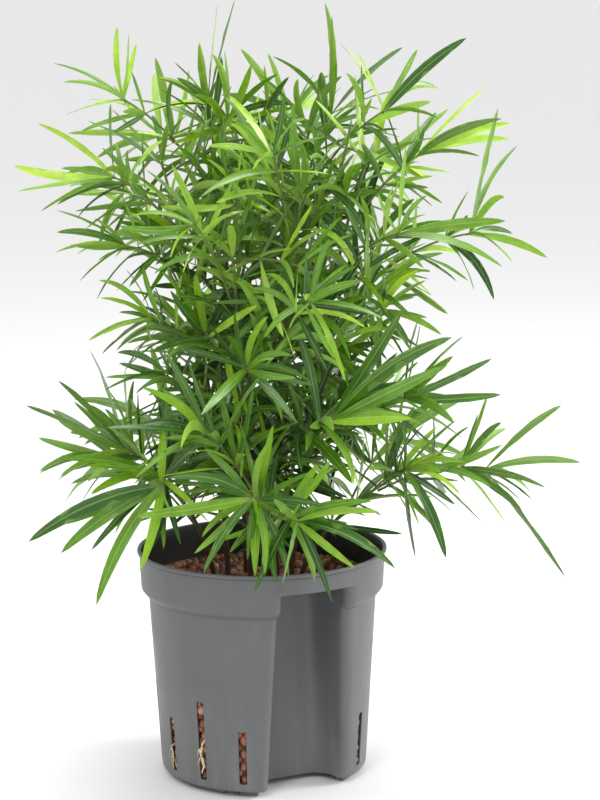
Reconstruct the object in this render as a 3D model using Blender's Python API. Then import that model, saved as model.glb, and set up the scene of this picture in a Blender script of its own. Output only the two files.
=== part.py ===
"""Potted asparagus fern in a hydroculture grow pot.

Metres, +Z up. The origin is on the floor, under the middle of the pot. The pot's gauge channel faces -Y.
"""

import math
import random
from collections import namedtuple

import bmesh
import bpy
from mathutils import Matrix, Vector
from mathutils.bvhtree import BVHTree

# Grow pot: one moulding with a rim bead, a deep collar and a tapered body
POT_HEIGHT = 0.2025
RIM_RADIUS = 0.110
RIM_BEAD = 0.0034  # height of the bead round the rim
RIM_ROUND = 0.0009  # rounding of the bead's edges
COLLAR_DROP = 0.034  # from the rim down to the collar's lower edge
COLLAR_TOP_RADIUS = RIM_RADIUS - 0.0017  # the bead stands proud of the collar by this much
COLLAR_LOW_RADIUS = COLLAR_TOP_RADIUS - 0.0014
COLLAR_CHAMFER = 0.0085  # height of the slope from the collar in to the body
BODY_TOP_RADIUS = COLLAR_LOW_RADIUS - 0.0065
BODY_BASE_RADIUS = BODY_TOP_RADIUS - 0.0094
BASE_CORNER = 0.0032
WALL = 0.0020
FLOOR = 0.0025

# Channel down the front of the pot that the water gauge stands in
CHANNEL_BOTTOM_RADIUS = 0.050  # from the pot's axis to the channel's back wall
CHANNEL_TOP_HALF_WIDTH = 0.033
CHANNEL_BASE_HALF_WIDTH = 0.037
CHANNEL_POWER = 6  # of the sideways distance: the higher, the flatter the back and the steeper the sides
CHANNEL_BAND = 0.0185  # height of the rim band that bridges the channel
CHANNEL_STEPS = 9  # columns from the channel's middle to each lip
CHANNEL_LIP = 0.0080  # length that is rounded on each side of a lip
ARC_STEPS = 42

# Root slots round the foot of the wall, on both sides of the channel
SLOT_FIRST_ANGLE = math.radians(38.0)
SLOTS_PER_SIDE = 6
SLOT_WIDTH = 0.0070
SLOT_BOTTOM = 0.013
SLOT_SHORT = 0.048
SLOT_TALL = 0.071
SLOT_ROUND = 0.0016

# Feet under the base
FOOT_HEIGHT = 0.0052
FOOT_RADIUS = BODY_BASE_RADIUS - 0.009
FOOT_WIDTH = 0.007
FOOT_SINK = 0.001  # how far a foot runs up into the floor
CENTRE_FOOT_RADIUS = 0.014
SHORT_FOOT = (math.radians(30.5), math.radians(42.0))
LONG_FOOT_FIRST = math.radians(51.5)
LONG_FOOT_ARC = math.radians(35.0)
LONG_FOOT_PITCH = math.radians(44.5)
LONG_FEET_PER_SIDE = 3

# Clay pebbles and the root ball that is set into them
GAP = 0.0004  # between touching pieces
BED_DROP = 0.033  # from the rim down to the pebbles
BALL_CENTRE = Vector((0.0, 0.015, 0.0))
BALL_RADIUS = 0.050
BALL_DEPTH = 0.070
BALL_PROUD = 0.003  # how far the ball stands above the pebbles
BALL_SIDES = 20

# Plant: everything below is laid out in the plant's own frame and turned with it in the pot
PLANT_TURN = math.radians(-26.5)
PLANT_SPREAD = 1.0
PLANT_RISE = 1.0
SEED = 11
STEM_SIDES = 5
CANE_BASE_RADIUS = 0.0024
CANE_TIP_RADIUS = 0.0012
CANE_WHORLS = (0.26, 0.40, 0.53, 0.65, 0.77, 0.89, 1.0)  # along each tall cane
LOW_CANE_WHORLS = (0.52, 0.76, 1.0)
LOW_CANE_HEIGHT = 0.15  # canes that end below this are the low ones
CANE_LEAVES = 3  # in each whorl on a cane, and one more at its tip
CANE_LEAF_LENGTH = 0.072
TWIG_BASE_RADIUS = 0.0012
TWIG_TIP_RADIUS = 0.0008
TWIG_WHORLS = (0.48, 0.77, 1.0)  # along each side twig
TWIG_LEAVES = 4
HUB_SWELL = 0.0006  # how much the stem thickens where leaves grow
HUB_LENGTH = 0.0022
LEAF_WIDTH_SHARE = 0.086  # of the leaf's length
LEAF_KEEL = 0.0008
TIP_LEAF_STATIONS = (0.27, 0.70)  # where a leaf has sections, as shares of its length
SIDE_LEAF_STATIONS = (0.48,)
LEAF_SCATTER = 0.18  # spread of the leaves' directions, as the angles below in radians
LEAF_ROLL = 0.5
LEAF_DROOP = (0.02, 0.30)  # share of its length that a leaf's tip hangs by
LEAF_SWING = 0.09
LEAF_CURL = 0.12
TIP_OPENING = math.radians(38)  # between a stem and the leaves round its tip
WHORL_OPENING = math.radians(56)
SHORTEST_TWIG = 0.035
TWIG_RISE = math.radians(38)
AIMED_ARCH = 0.14  # share of its length that a chosen leaf's middle is lifted by
TWIG_ARCH = 0.16  # share of its length that a twig's middle is lifted by
CLEARANCE = 0.0005  # kept between leaves, twigs and canes
STEM_TEST_RINGS = 7
TRIES = 60

# Canes, as (foot x, foot y, tip x, tip y, tip height above the pebbles), the feet in radii of the ball
CANES = (
    (-0.60, 0.08, -0.082, -0.012, 0.372),
    (-0.28, 0.44, -0.040, 0.022, 0.400),
    (0.16, 0.56, 0.044, 0.012, 0.395),
    (0.52, 0.28, 0.092, -0.020, 0.370),
    (0.50, -0.12, 0.104, 0.032, 0.300),
    (-0.20, -0.24, -0.022, -0.076, 0.300),
    (-0.04, 0.88, 0.012, 0.100, 0.340),
    (-0.60, 0.64, -0.080, 0.082, 0.295),
    (0.24, -0.16, 0.036, -0.070, 0.352),
    (-0.86, 0.32, -0.092, -0.036, 0.110),
    (0.68, 0.06, 0.108, -0.026, 0.094),
    (0.12, -0.44, 0.006, -0.090, 0.084),
    (0.28, 0.84, 0.004, 0.104, 0.095),
)

# Side shoots, as (hub x, hub y, hub height above the pebbles, leaf length, tips of leaves from the hub)
SHOOTS = (
    (-0.113, -0.020, 0.427, 0.066, (
        (-0.005, 0.02, 0.06), (0.005, 0.01, 0.055), (0.01, 0.04, 0.045), (-0.06, 0.02, 0.03),
        (-0.05, 0.0, 0.015),
    )),
    (-0.043, 0.030, 0.419, 0.080, ((0.01, -0.01, 0.085), (0.025, -0.03, 0.09), (-0.005, -0.06, 0.055))),
    (-0.122, -0.030, 0.362, 0.070, ((-0.085, 0.01, 0.01), (-0.08, -0.01, -0.01), (-0.06, -0.03, -0.025))),
    (-0.118, 0.040, 0.342, 0.070, ((-0.05, 0.0, 0.0), (-0.055, 0.02, 0.02))),
    (-0.115, 0.000, 0.300, 0.066, (
        (-0.06, 0.02, 0.01), (-0.045, -0.03, 0.005), (-0.06, 0.0, -0.005), (-0.04, 0.0, -0.03),
    )),
    (-0.052, -0.110, 0.330, 0.070, ()),
    (0.064, 0.030, 0.410, 0.080, ((-0.005, -0.01, 0.095), (0.0, -0.04, 0.085), (-0.05, -0.01, 0.05))),
    (0.107, -0.030, 0.416, 0.078, (
        (-0.035, 0.05, 0.055), (0.07, 0.01, 0.06), (0.03, 0.03, 0.05), (0.05, 0.06, 0.015),
    )),
    (0.138, -0.010, 0.377, 0.074, ((0.08, 0.02, 0.025), (0.05, -0.02, 0.0), (0.08, 0.03, 0.01))),
    (0.181, -0.020, 0.310, 0.070, (
        (0.025, 0.02, 0.105), (0.04, 0.0, 0.075), (0.065, -0.01, -0.02), (0.04, 0.04, -0.005),
    )),
    (0.118, -0.050, 0.314, 0.074, (
        (0.005, -0.02, 0.075), (0.025, 0.02, 0.03), (0.09, 0.0, 0.01), (0.085, -0.03, -0.025),
    )),
    (0.114, 0.054, 0.268, 0.064, ((0.05, 0.01, 0.015),)),
    (0.012, -0.112, 0.386, 0.072, ()),
    (-0.086, 0.092, 0.388, 0.078, ()),
    (0.024, 0.124, 0.404, 0.078, ()),
    (0.106, 0.112, 0.356, 0.080, ()),
    (0.000, 0.160, 0.320, 0.084, ()),
    (-0.106, 0.126, 0.302, 0.080, ()),
    (0.042, -0.130, 0.268, 0.072, ()),
    (-0.092, -0.030, 0.241, 0.062, ((-0.055, 0.01, -0.02), (-0.04, -0.02, -0.01), (-0.045, 0.03, -0.035))),
    (0.105, -0.030, 0.246, 0.064, ((0.05, -0.01, -0.02), (0.025, -0.02, -0.035))),
    (-0.010, -0.116, 0.210, 0.072, ()),
    (0.084, 0.098, 0.222, 0.076, ()),
    (-0.062, 0.110, 0.206, 0.076, ()),
    (-0.119, -0.020, 0.126, 0.082, (
        (-0.085, 0.02, 0.035), (-0.055, 0.0, 0.06), (-0.03, 0.04, 0.08), (-0.055, -0.02, 0.03),
    )),
    (-0.084, -0.090, 0.108, 0.092, (
        (-0.11, -0.03, -0.04), (-0.085, 0.01, -0.035), (-0.085, -0.01, -0.055), (-0.055, -0.03, -0.095),
    )),
    (-0.008, -0.130, 0.105, 0.080, (
        (-0.095, -0.02, -0.01), (-0.04, -0.03, -0.055), (0.01, -0.04, -0.055), (0.03, -0.01, -0.065),
    )),
    (0.059, -0.100, 0.163, 0.092, (
        (0.095, -0.02, 0.05), (0.06, 0.02, 0.09), (0.1, 0.0, 0.07), (0.065, -0.04, 0.01),
    )),
    (0.124, -0.030, 0.168, 0.086, ((0.075, 0.0, 0.035), (0.085, 0.02, 0.0))),
    (0.197, 0.000, 0.099, 0.080, (
        (0.067, 0.01, 0.055), (0.081, -0.02, 0.01), (0.04, -0.01, -0.025), (0.069, -0.02, -0.093),
    )),
    (0.123, -0.050, 0.110, 0.078, (
        (0.045, 0.02, -0.035), (0.01, 0.01, -0.08), (0.035, -0.01, -0.075), (0.075, 0.0, -0.015),
    )),
    (0.124, 0.092, 0.110, 0.092, ()),
    (0.022, 0.152, 0.104, 0.092, ()),
    (-0.092, 0.122, 0.114, 0.092, ()),
    (-0.046, -0.112, 0.156, 0.084, ((-0.08, -0.02, 0.01), (-0.05, -0.03, 0.045))),
    (-0.130, 0.062, 0.100, 0.088, ((-0.07, 0.0, 0.02),)),
    (0.030, -0.134, 0.086, 0.084, ((-0.02, -0.05, 0.03), (0.045, -0.04, -0.03))),
)

# Withered leaves on the pebbles, as (bearing, share out) of one end and of the other: degrees round the ball's
# centre, and a share of the way from the ball's edge to the wall
DRY_LEAVES = (
    (-157.5, 0.59, -131.1, -0.04),
    (-132.9, 0.56, -112.2, 0.83),
    (-9.0, 0.11, 10.2, 1.0),
)
DRY_WIDTH_SHARE = 0.16
DRY_CURL = 0.10  # rise of a withered leaf's end, as a share of its length
DRY_STATIONS = (0.02, 0.35, 0.70, 0.97)

# Roots that have grown out through the slots, as (slot, height, drop, sideways, radius)
ROOTS = (
    (-2, 0.050, 0.031, 0.0020, 0.0009),
    (-2, 0.044, 0.014, -0.0022, 0.0007),
    (-3, 0.040, 0.026, 0.0014, 0.0006),
)


def material(name, colour, roughness):
    """A plain Principled material."""
    made = bpy.data.materials.new(name)
    made.use_nodes = True
    shader = made.node_tree.nodes["Principled BSDF"]
    shader.inputs["Base Color"].default_value = (*colour, 1.0)
    shader.inputs["Roughness"].default_value = roughness
    return made


def add_object(name, bm, finish, helper=False):
    """Turns a bmesh into an object; a helper only serves Booleans."""
    if bm.calc_volume(signed=True) < 0:
        bmesh.ops.reverse_faces(bm, faces=bm.faces)
    mesh = bpy.data.meshes.new(name)
    bm.to_mesh(mesh)
    bm.free()
    obj = bpy.data.objects.new(name, mesh)
    bpy.context.scene.collection.objects.link(obj)
    if finish:
        mesh.materials.append(finish)
    if helper:
        obj.hide_render = True
        obj.display_type = "WIRE"
    else:
        mesh.shade_smooth()
        mesh.set_sharp_from_angle(angle=math.radians(35))
    return obj


def boolean(obj, other, operation):
    cut = obj.modifiers.new(operation.title(), "BOOLEAN")
    cut.operation = operation
    cut.object = other


def lerp(a, b, share):
    return a + (b - a) * share


def skin(bm, rings):
    """Triangles between rings of equally many points, in order, and a flat face on both ends.

    Each four-sided patch is split the same way whether its rings go up or down, so that shapes
    nested in each other keep their distance.
    """
    rows = [[bm.verts.new(p) for p in ring] for ring in rings]
    count = len(rows[0])
    for low, high in zip(rows, rows[1:]):
        rising = high[0].co.z >= low[0].co.z
        for i in range(count):
            j = (i + 1) % count
            if rising:
                bm.faces.new((low[i], low[j], high[j]))
                bm.faces.new((low[i], high[j], high[i]))
            else:
                bm.faces.new((low[i], low[j], high[i]))
                bm.faces.new((low[j], high[j], high[i]))
    bm.faces.new(reversed(rows[0]))
    bm.faces.new(rows[-1])


# --- Pot ---------------------------------------------------------------------------------------


def shelf_height():
    return POT_HEIGHT - CHANNEL_BAND


def outline(radius, z, channel, inset=0.0):
    """The wall's outline at one height: a circle with a bell-shaped channel let into its front.

    The channel's wall stands off its back wall by a power of the sideways distance.
    """
    half = lerp(CHANNEL_BASE_HALF_WIDTH, CHANNEL_TOP_HALF_WIDTH, z / shelf_height())
    lip = math.sqrt(radius**2 - half**2)

    def front(x):
        if not channel:
            return math.sqrt(radius**2 - x**2)
        return lerp(CHANNEL_BOTTOM_RADIUS, lip, abs(x / half) ** CHANNEL_POWER)

    sideways = [half * math.sqrt(i / CHANNEL_STEPS) for i in range(1, CHANNEL_STEPS)]
    sideways += [half * (1 - CHANNEL_LIP / (CHANNEL_POWER * (lip - CHANNEL_BOTTOM_RADIUS))), half]
    points = [Vector((x, -front(x))) for x in [-s for s in reversed(sideways)] + [0.0] + sideways]
    start = math.asin(half / radius)
    near = start + CHANNEL_LIP / radius
    angles = [near + (2 * math.pi - 2 * near) * i / ARC_STEPS for i in range(ARC_STEPS + 1)]
    points += [Vector((radius * math.sin(a), -radius * math.cos(a))) for a in angles]
    count = len(points)
    lips = (0, 2 * len(sideways))
    if channel:
        points = [
            (points[i - 1] + 2 * p + points[(i + 1) % count]) / 4 if i in lips else p
            for i, p in enumerate(points)
        ]
    moved = []
    for i, p in enumerate(points):
        along = (points[(i + 1) % count] - p).normalized() + (p - points[i - 1]).normalized()
        along.normalize()
        inward = Vector((-along.y, along.x))
        moved.append((p.x + inset * inward.x, p.y + inset * inward.y, z))
    return moved


def body_radius(z):
    """Radius of the tapered body's outside at a height."""
    top = POT_HEIGHT - COLLAR_DROP - COLLAR_CHAMFER
    low = FOOT_HEIGHT + BASE_CORNER
    return lerp(BODY_BASE_RADIUS, BODY_TOP_RADIUS, (z - low) / (top - low))


def collar_radius(z):
    low = POT_HEIGHT - COLLAR_DROP
    return lerp(COLLAR_LOW_RADIUS, COLLAR_TOP_RADIUS, (z - low) / COLLAR_DROP)


def inner_levels():
    """(height, radius) of the wall's outside where the inside bends, from the floor up to the shelf."""
    floor = FOOT_HEIGHT + FLOOR
    collar = POT_HEIGHT - COLLAR_DROP + WALL / 2
    shelf = shelf_height() + WALL
    return [
        (floor, body_radius(floor)),
        (collar - COLLAR_CHAMFER, BODY_TOP_RADIUS),
        (collar, COLLAR_LOW_RADIUS),
        (shelf, collar_radius(shelf)),
    ]


def pot_rings():
    """The pot's outside from the base up to the rim, then its inside back down to the floor."""
    base = FOOT_HEIGHT
    collar = POT_HEIGHT - COLLAR_DROP
    shelf = shelf_height()
    rim = POT_HEIGHT
    round_share = BASE_CORNER * (1 - math.sqrt(0.5))
    outside = [
        (base, BODY_BASE_RADIUS - BASE_CORNER, True),
        (base + round_share, BODY_BASE_RADIUS - round_share, True),
        (base + BASE_CORNER, BODY_BASE_RADIUS, True),
        (collar - COLLAR_CHAMFER, BODY_TOP_RADIUS, True),
        (collar, COLLAR_LOW_RADIUS, True),
        (shelf, collar_radius(shelf), True),
        (shelf, collar_radius(shelf), False),
        (rim - RIM_BEAD, COLLAR_TOP_RADIUS, False),
        (rim - RIM_BEAD + RIM_ROUND, RIM_RADIUS, False),
        (rim - RIM_ROUND, RIM_RADIUS, False),
        (rim, RIM_RADIUS - RIM_ROUND, False),
    ]
    inside = [
        (rim, COLLAR_TOP_RADIUS + RIM_ROUND, False),
        (rim - RIM_ROUND, COLLAR_TOP_RADIUS, False),
        (*inner_levels()[-1], False),
    ]
    inside += [(*level, True) for level in reversed(inner_levels())]
    rings = [outline(radius, z, channel) for z, radius, channel in outside]
    return rings + [outline(radius, z, channel, WALL) for z, radius, channel in inside]


def slot_angles():
    """(number, angle from the channel, height) of each slot; numbers count away from the channel."""
    pitch = (math.pi - SLOT_FIRST_ANGLE) / SLOTS_PER_SIDE
    found = []
    for number in range(1, SLOTS_PER_SIDE + 1):
        angle = SLOT_FIRST_ANGLE + (number - 1) * pitch
        height = SLOT_TALL if number % 2 == 0 else SLOT_SHORT
        found += [(number, angle, height), (-number, -angle, height)]
    return found + [(SLOTS_PER_SIDE + 1, math.pi, SLOT_SHORT)]


def outward(angle):
    """The way out from the pot's axis at an angle from the channel, seen from above."""
    return Vector((math.sin(angle), -math.cos(angle), 0.0))


def slot_cutter():
    """A rounded block through the wall for each slot."""
    bm = bmesh.new()
    depth = 4 * (WALL + BASE_CORNER)
    for _, angle, height in slot_angles():
        middle = SLOT_BOTTOM + height / 2
        place = Matrix.Translation(outward(angle) * body_radius(middle) + Vector((0, 0, middle)))
        place = place @ Matrix.Rotation(angle, 4, "Z") @ Matrix.Diagonal((SLOT_WIDTH, depth, height, 1))
        block = bmesh.ops.create_cube(bm, size=1.0, matrix=place)["verts"]
        edges = {e for v in block for e in v.link_edges}
        across = outward(angle)
        radial = [e for e in edges if abs((e.verts[0].co - e.verts[1].co).normalized().dot(across)) > 0.9]
        bmesh.ops.bevel(bm, geom=radial, offset=SLOT_ROUND, segments=2, profile=0.5, affect="EDGES")
    return add_object("slot_cutter", bm, None, helper=True)


def arc_block(bm, start, arc, steps):
    """A foot: a short stretch of a ring under the base."""
    up = Vector((0, 0, FOOT_HEIGHT + FOOT_SINK))
    rings = []
    for i in range(steps + 1):
        way = outward(start + arc * i / steps)
        inner, outer = way * (FOOT_RADIUS - FOOT_WIDTH), way * FOOT_RADIUS
        rings.append([inner, outer, outer + up, inner + up])
    skin(bm, rings)


def feet():
    bm = bmesh.new()
    for side in (1, -1):
        arc_block(bm, side * SHORT_FOOT[0], side * (SHORT_FOOT[1] - SHORT_FOOT[0]), 2)
        for i in range(LONG_FEET_PER_SIDE):
            arc_block(bm, side * (LONG_FOOT_FIRST + i * LONG_FOOT_PITCH), side * LONG_FOOT_ARC, 4)
    height = FOOT_HEIGHT + FOOT_SINK
    bmesh.ops.create_cone(
        bm,
        cap_ends=True,
        segments=20,
        radius1=CENTRE_FOOT_RADIUS,
        radius2=CENTRE_FOOT_RADIUS,
        depth=height,
        matrix=Matrix.Translation((0, 0, height / 2)),
    )
    bmesh.ops.recalc_face_normals(bm, faces=bm.faces)
    return add_object("feet", bm, None, helper=True)


def make_pot(finish):
    bm = bmesh.new()
    skin(bm, pot_rings())
    pot = add_object("grow_pot", bm, finish)
    boolean(pot, feet(), "UNION")
    boolean(pot, slot_cutter(), "DIFFERENCE")


# --- Pebbles and root ball -----------------------------------------------------------------------


def bed_top():
    return POT_HEIGHT - BED_DROP


def make_bed(finish):
    """The pebbles as one solid: the pot's inside, with a well for the root ball."""
    top = bed_top()
    below = [level for level in inner_levels() if level[0] < top]
    above = inner_levels()[len(below)]
    share = (top - below[-1][0]) / (above[0] - below[-1][0])
    brim = (top, lerp(below[-1][1], above[1], share))
    levels = [(below[0][0] + GAP, below[0][1])] + below[1:] + [brim]
    bm = bmesh.new()
    skin(bm, [outline(radius, z, True, WALL + GAP) for z, radius in levels])
    bed = add_object("clay_pebbles", bm, finish)
    bm = bmesh.new()
    height = BALL_DEPTH + COLLAR_DROP
    middle = BALL_CENTRE + Vector((0, 0, bed_top() - BALL_DEPTH - GAP + height / 2))
    bmesh.ops.create_cone(
        bm,
        cap_ends=True,
        segments=BALL_SIDES,
        radius1=BALL_RADIUS + GAP,
        radius2=BALL_RADIUS + GAP,
        depth=height,
        matrix=Matrix.Translation(middle),
    )
    boolean(bed, add_object("ball_well", bm, None, helper=True), "DIFFERENCE")


def level_way(degrees):
    """The level direction at an angle anticlockwise from +X."""
    return Vector((math.cos(math.radians(degrees)), math.sin(math.radians(degrees)), 0))


def make_root_ball(finish):
    """A turned block with a rounded foot and a low crown."""
    top = bed_top()
    profile = (
        (0.80, top - BALL_DEPTH),
        (0.99, top - 0.75 * BALL_DEPTH),
        (0.99, top - 0.002),
        (0.90, top + BALL_PROUD),
    )
    bm = bmesh.new()
    rings = []
    ways = [level_way(360 * i / BALL_SIDES) for i in range(BALL_SIDES)]
    for share, z in profile:
        rings.append([BALL_CENTRE + Vector((0, 0, z)) + share * BALL_RADIUS * way for way in ways])
    skin(bm, rings)
    add_object("root_ball", bm, finish)


# --- Plant ---------------------------------------------------------------------------------------

Stem = namedtuple("Stem", "name curve radii whorls leaf_count leaf_length level_foot aims")


class Obstacles:
    """What is already placed, so that the next leaf, twig or cane can keep clear of it."""

    def __init__(self):
        self.placed = []

    @staticmethod
    def box(points):
        low = Vector([min(p[k] for p in points) for k in range(3)])
        high = Vector([max(p[k] for p in points) for k in range(3)])
        return low, high

    def add(self, points, faces, owner=None):
        self.placed.append((*self.box(points), BVHTree.FromPolygons(points, faces), owner))

    def hits(self, points, faces, owner=None, own=False):
        """Whether a shape meets anything of another owner or, with own set, of the same one."""
        low, high = self.box(points)
        tree = None
        for other_low, other_high, other, other_owner in self.placed:
            if (other_owner == owner and owner is not None) != own:
                continue
            if any(low[k] > other_high[k] or high[k] < other_low[k] for k in range(3)):
                continue
            tree = tree or BVHTree.FromPolygons(points, faces)
            if tree.overlap(other):
                return True
        return False


def add_pot_obstacle(obstacles):
    """The collar outside and in, with the channel's wall and shelf, and a lid just over the pebbles."""
    shelf = shelf_height() + WALL
    lid = bed_top() + BALL_PROUD + GAP
    rings = [
        outline(RIM_RADIUS, 0.0, False),
        outline(RIM_RADIUS, POT_HEIGHT, False),
        outline(COLLAR_LOW_RADIUS, POT_HEIGHT, False, WALL),
        outline(COLLAR_LOW_RADIUS, shelf, False, WALL),
        outline(COLLAR_LOW_RADIUS, shelf, True, WALL),
        outline(COLLAR_LOW_RADIUS, lid, True, WALL),
    ]
    points = [Vector(p) for ring in rings for p in ring]
    count = len(rings[0])
    faces = [tuple(range(len(points) - count, len(points)))]
    for r in range(len(rings) - 1):
        for i in range(count):
            j = (i + 1) % count
            low, high = r * count, (r + 1) * count
            faces.append((low + i, low + j, high + j, high + i))
    obstacles.add(points, faces)


def turned(x, y, z):
    """A point turned with the plant in the pot."""
    return Matrix.Rotation(PLANT_TURN, 3, "Z") @ Vector((x, y, z))


def place(x, y, height):
    """A point of the plant's own frame, turned with the plant and set above the pebbles."""
    return turned(x * PLANT_SPREAD, y * PLANT_SPREAD, bed_top() + height * PLANT_RISE)


def place_way(way):
    """A way in the plant's own frame, turned and stretched with the plant."""
    x, y, z = way
    stretched = Vector((x * PLANT_SPREAD, y * PLANT_SPREAD, z * PLANT_RISE))
    return Matrix.Rotation(PLANT_TURN, 3, "Z") @ stretched


def bezier(a, b, c, share):
    return (1 - share) ** 2 * a + 2 * share * (1 - share) * b + share**2 * c


def bezier_way(a, b, c, share):
    return ((1 - share) * (b - a) + share * (c - b)).normalized()


def ring_round(middle, way, radius, sides):
    """Points anticlockwise round a way, square to it, starting from the level direction."""
    first = way.cross(Vector((0, 0, 1))) if abs(way.z) < 0.999 else Vector((1, 0, 0))
    first.normalize()
    second = way.cross(first).normalized()
    angles = [2 * math.pi * i / sides for i in range(sides)]
    return [middle + radius * (math.cos(a) * first + math.sin(a) * second) for a in angles]


def swollen_tube(stem):
    """A stem's plain shape, thickened by its swellings and the clearance, to test for room."""
    rings = max(STEM_TEST_RINGS, len(stem.whorls) + 2)
    points = []
    for r in range(rings):
        share = r / (rings - 1)
        radius = lerp(*stem.radii, share) + HUB_SWELL + CLEARANCE
        way = bezier_way(*stem.curve, share)
        points += ring_round(bezier(*stem.curve, share), way, radius, STEM_SIDES)
    faces = [tuple(range(STEM_SIDES)), tuple(range(len(points) - STEM_SIDES, len(points)))]
    for r in range(rings - 1):
        for i in range(STEM_SIDES):
            j = (i + 1) % STEM_SIDES
            low, high = r * STEM_SIDES, (r + 1) * STEM_SIDES
            faces.append((low + i, low + j, high + j, high + i))
    return points, faces


def make_canes():
    """Each cane rises steeply from the root ball and leans out towards its tip."""
    stems = []
    for number, (foot_x, foot_y, tip_x, tip_y, height) in enumerate(CANES, 1):
        foot = turned(foot_x * BALL_RADIUS, foot_y * BALL_RADIUS, bed_top() + BALL_PROUD + GAP)
        tip = place(tip_x, tip_y, height)
        middle = foot.lerp(tip, 0.22)
        middle.z = lerp(foot.z, tip.z, 0.58)
        stems.append(
            Stem(
                name=f"cane_{number:02d}",
                curve=(foot, middle, tip),
                radii=(CANE_BASE_RADIUS, CANE_TIP_RADIUS),
                whorls=LOW_CANE_WHORLS if height < LOW_CANE_HEIGHT else CANE_WHORLS,
                leaf_count=CANE_LEAVES,
                leaf_length=CANE_LEAF_LENGTH,
                level_foot=True,
                aims=(),
            )
        )
    return stems


def branching_point(hub, canes):
    """(cane, share along it) that a twig to this hub grows from: near, and well below the hub."""
    best = None
    for cane in canes:
        for share in [step / 24 for step in range(5, 23)]:
            reach = hub - bezier(*cane.curve, share)
            if reach.length < SHORTEST_TWIG:
                continue
            rise = math.asin(reach.z / reach.length)
            off_whorl = min(abs(share - place) for place in cane.whorls)
            cost = reach.length + 0.06 * abs(rise - TWIG_RISE) + (0.05 if off_whorl < 0.03 else 0.0)
            if best is None or cost < best[0]:
                best = (cost, cane, share)
    return best[1], best[2]


def make_twig(number, canes, rng, obstacles):
    """A twig from its cane's skin to its hub, moved a little until it clears what is placed."""
    x, y, height, length, aims = SHOOTS[number - 1]
    hub = place(x, y, height)
    cane, first_share = branching_point(hub, canes)
    for attempt in range(TRIES):
        share = min(0.98, max(0.12, first_share + rng.uniform(-0.02, 0.02) * attempt))
        root = bezier(*cane.curve, share)
        way = bezier_way(*cane.curve, share)
        out = hub - root
        out = (out - way * out.dot(way)).normalized()
        start = root + out * (lerp(*cane.radii, share) + HUB_SWELL + CLEARANCE + GAP)
        start += out * (TWIG_BASE_RADIUS + CLEARANCE)
        lift = Vector((0, 0, TWIG_ARCH)) * (hub - root).length
        sway = Vector([rng.uniform(-1, 1) for _ in range(3)]) * 0.006 * min(5, attempt)
        stem = Stem(
            name=f"shoot_{number:02d}",
            curve=(start, start.lerp(hub, 0.5) + lift + sway, hub),
            radii=(TWIG_BASE_RADIUS, TWIG_TIP_RADIUS),
            whorls=TWIG_WHORLS,
            leaf_count=TWIG_LEAVES,
            leaf_length=length,
            level_foot=False,
            aims=[place_way(aim) for aim in aims],
        )
        if not obstacles.hits(*swollen_tube(stem)):
            return stem
    return None


def leaf_rings(curve, side, up, width, keel, stations):
    """Triangular sections of a strap-shaped leaf: two edges, and a keel below them."""
    rings = []
    for share in stations:
        half = width / 2 * min(1.0, (share / 0.25) ** 0.5, ((1 - share) / 0.25) ** 0.5)
        middle = curve(share)
        rings.append([middle - side * half, middle + side * half, middle - up * keel])
    return rings


def leaf_test_mesh(curve, side, up, width, stations, start):
    """A slightly swollen copy of a leaf, from a share along it, to test for room."""
    swollen = (width + 2 * CLEARANCE, LEAF_KEEL + CLEARANCE)
    rings = leaf_rings(curve, side, up, *swollen, (start, *stations))
    points = [p + up * CLEARANCE if i < 2 else p for ring in rings for i, p in enumerate(ring)]
    points.append(curve(1.0))
    tip = len(points) - 1
    faces = [(0, 1, 2)]
    for r in range(len(stations)):
        for i in range(3):
            j = (i + 1) % 3
            faces.append((3 * r + i, 3 * r + j, 3 * r + 3 + j, 3 * r + 3 + i))
    return points, faces + [(tip - 3, tip - 2, tip), (tip - 2, tip - 1, tip), (tip - 1, tip - 3, tip)]


def claim_room(curve, side, up, width, stations, stem, obstacles):
    """Whether a leaf clears what is placed; if it does, it becomes an obstacle too.

    Leaves of the same stem meet at its hubs, so they are only kept apart further out.
    """
    near = leaf_test_mesh(curve, side, up, width, stations, 0.01)
    far = leaf_test_mesh(curve, side, up, width, stations, 0.10)
    if obstacles.hits(*near, stem.name) or obstacles.hits(*far, stem.name, own=True):
        return False
    obstacles.add(*near, stem.name)
    return True


def leaf_axes(lean, way, roll):
    """(side, up) of a leaf whose face looks along its stem before it is rolled."""
    side = lean.cross(way).normalized()
    up = side.cross(lean).normalized()
    if up.dot(way) < 0:
        side, up = -side, -up
    turn = Matrix.Rotation(roll, 3, lean)
    return (turn @ side).normalized(), (turn @ up).normalized()


def bent_line(base, lean, bend):
    """A leaf's middle line: a straight run, bent away by the square of the share along it."""
    return lambda share: base + lean * share + bend * share**2


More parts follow.
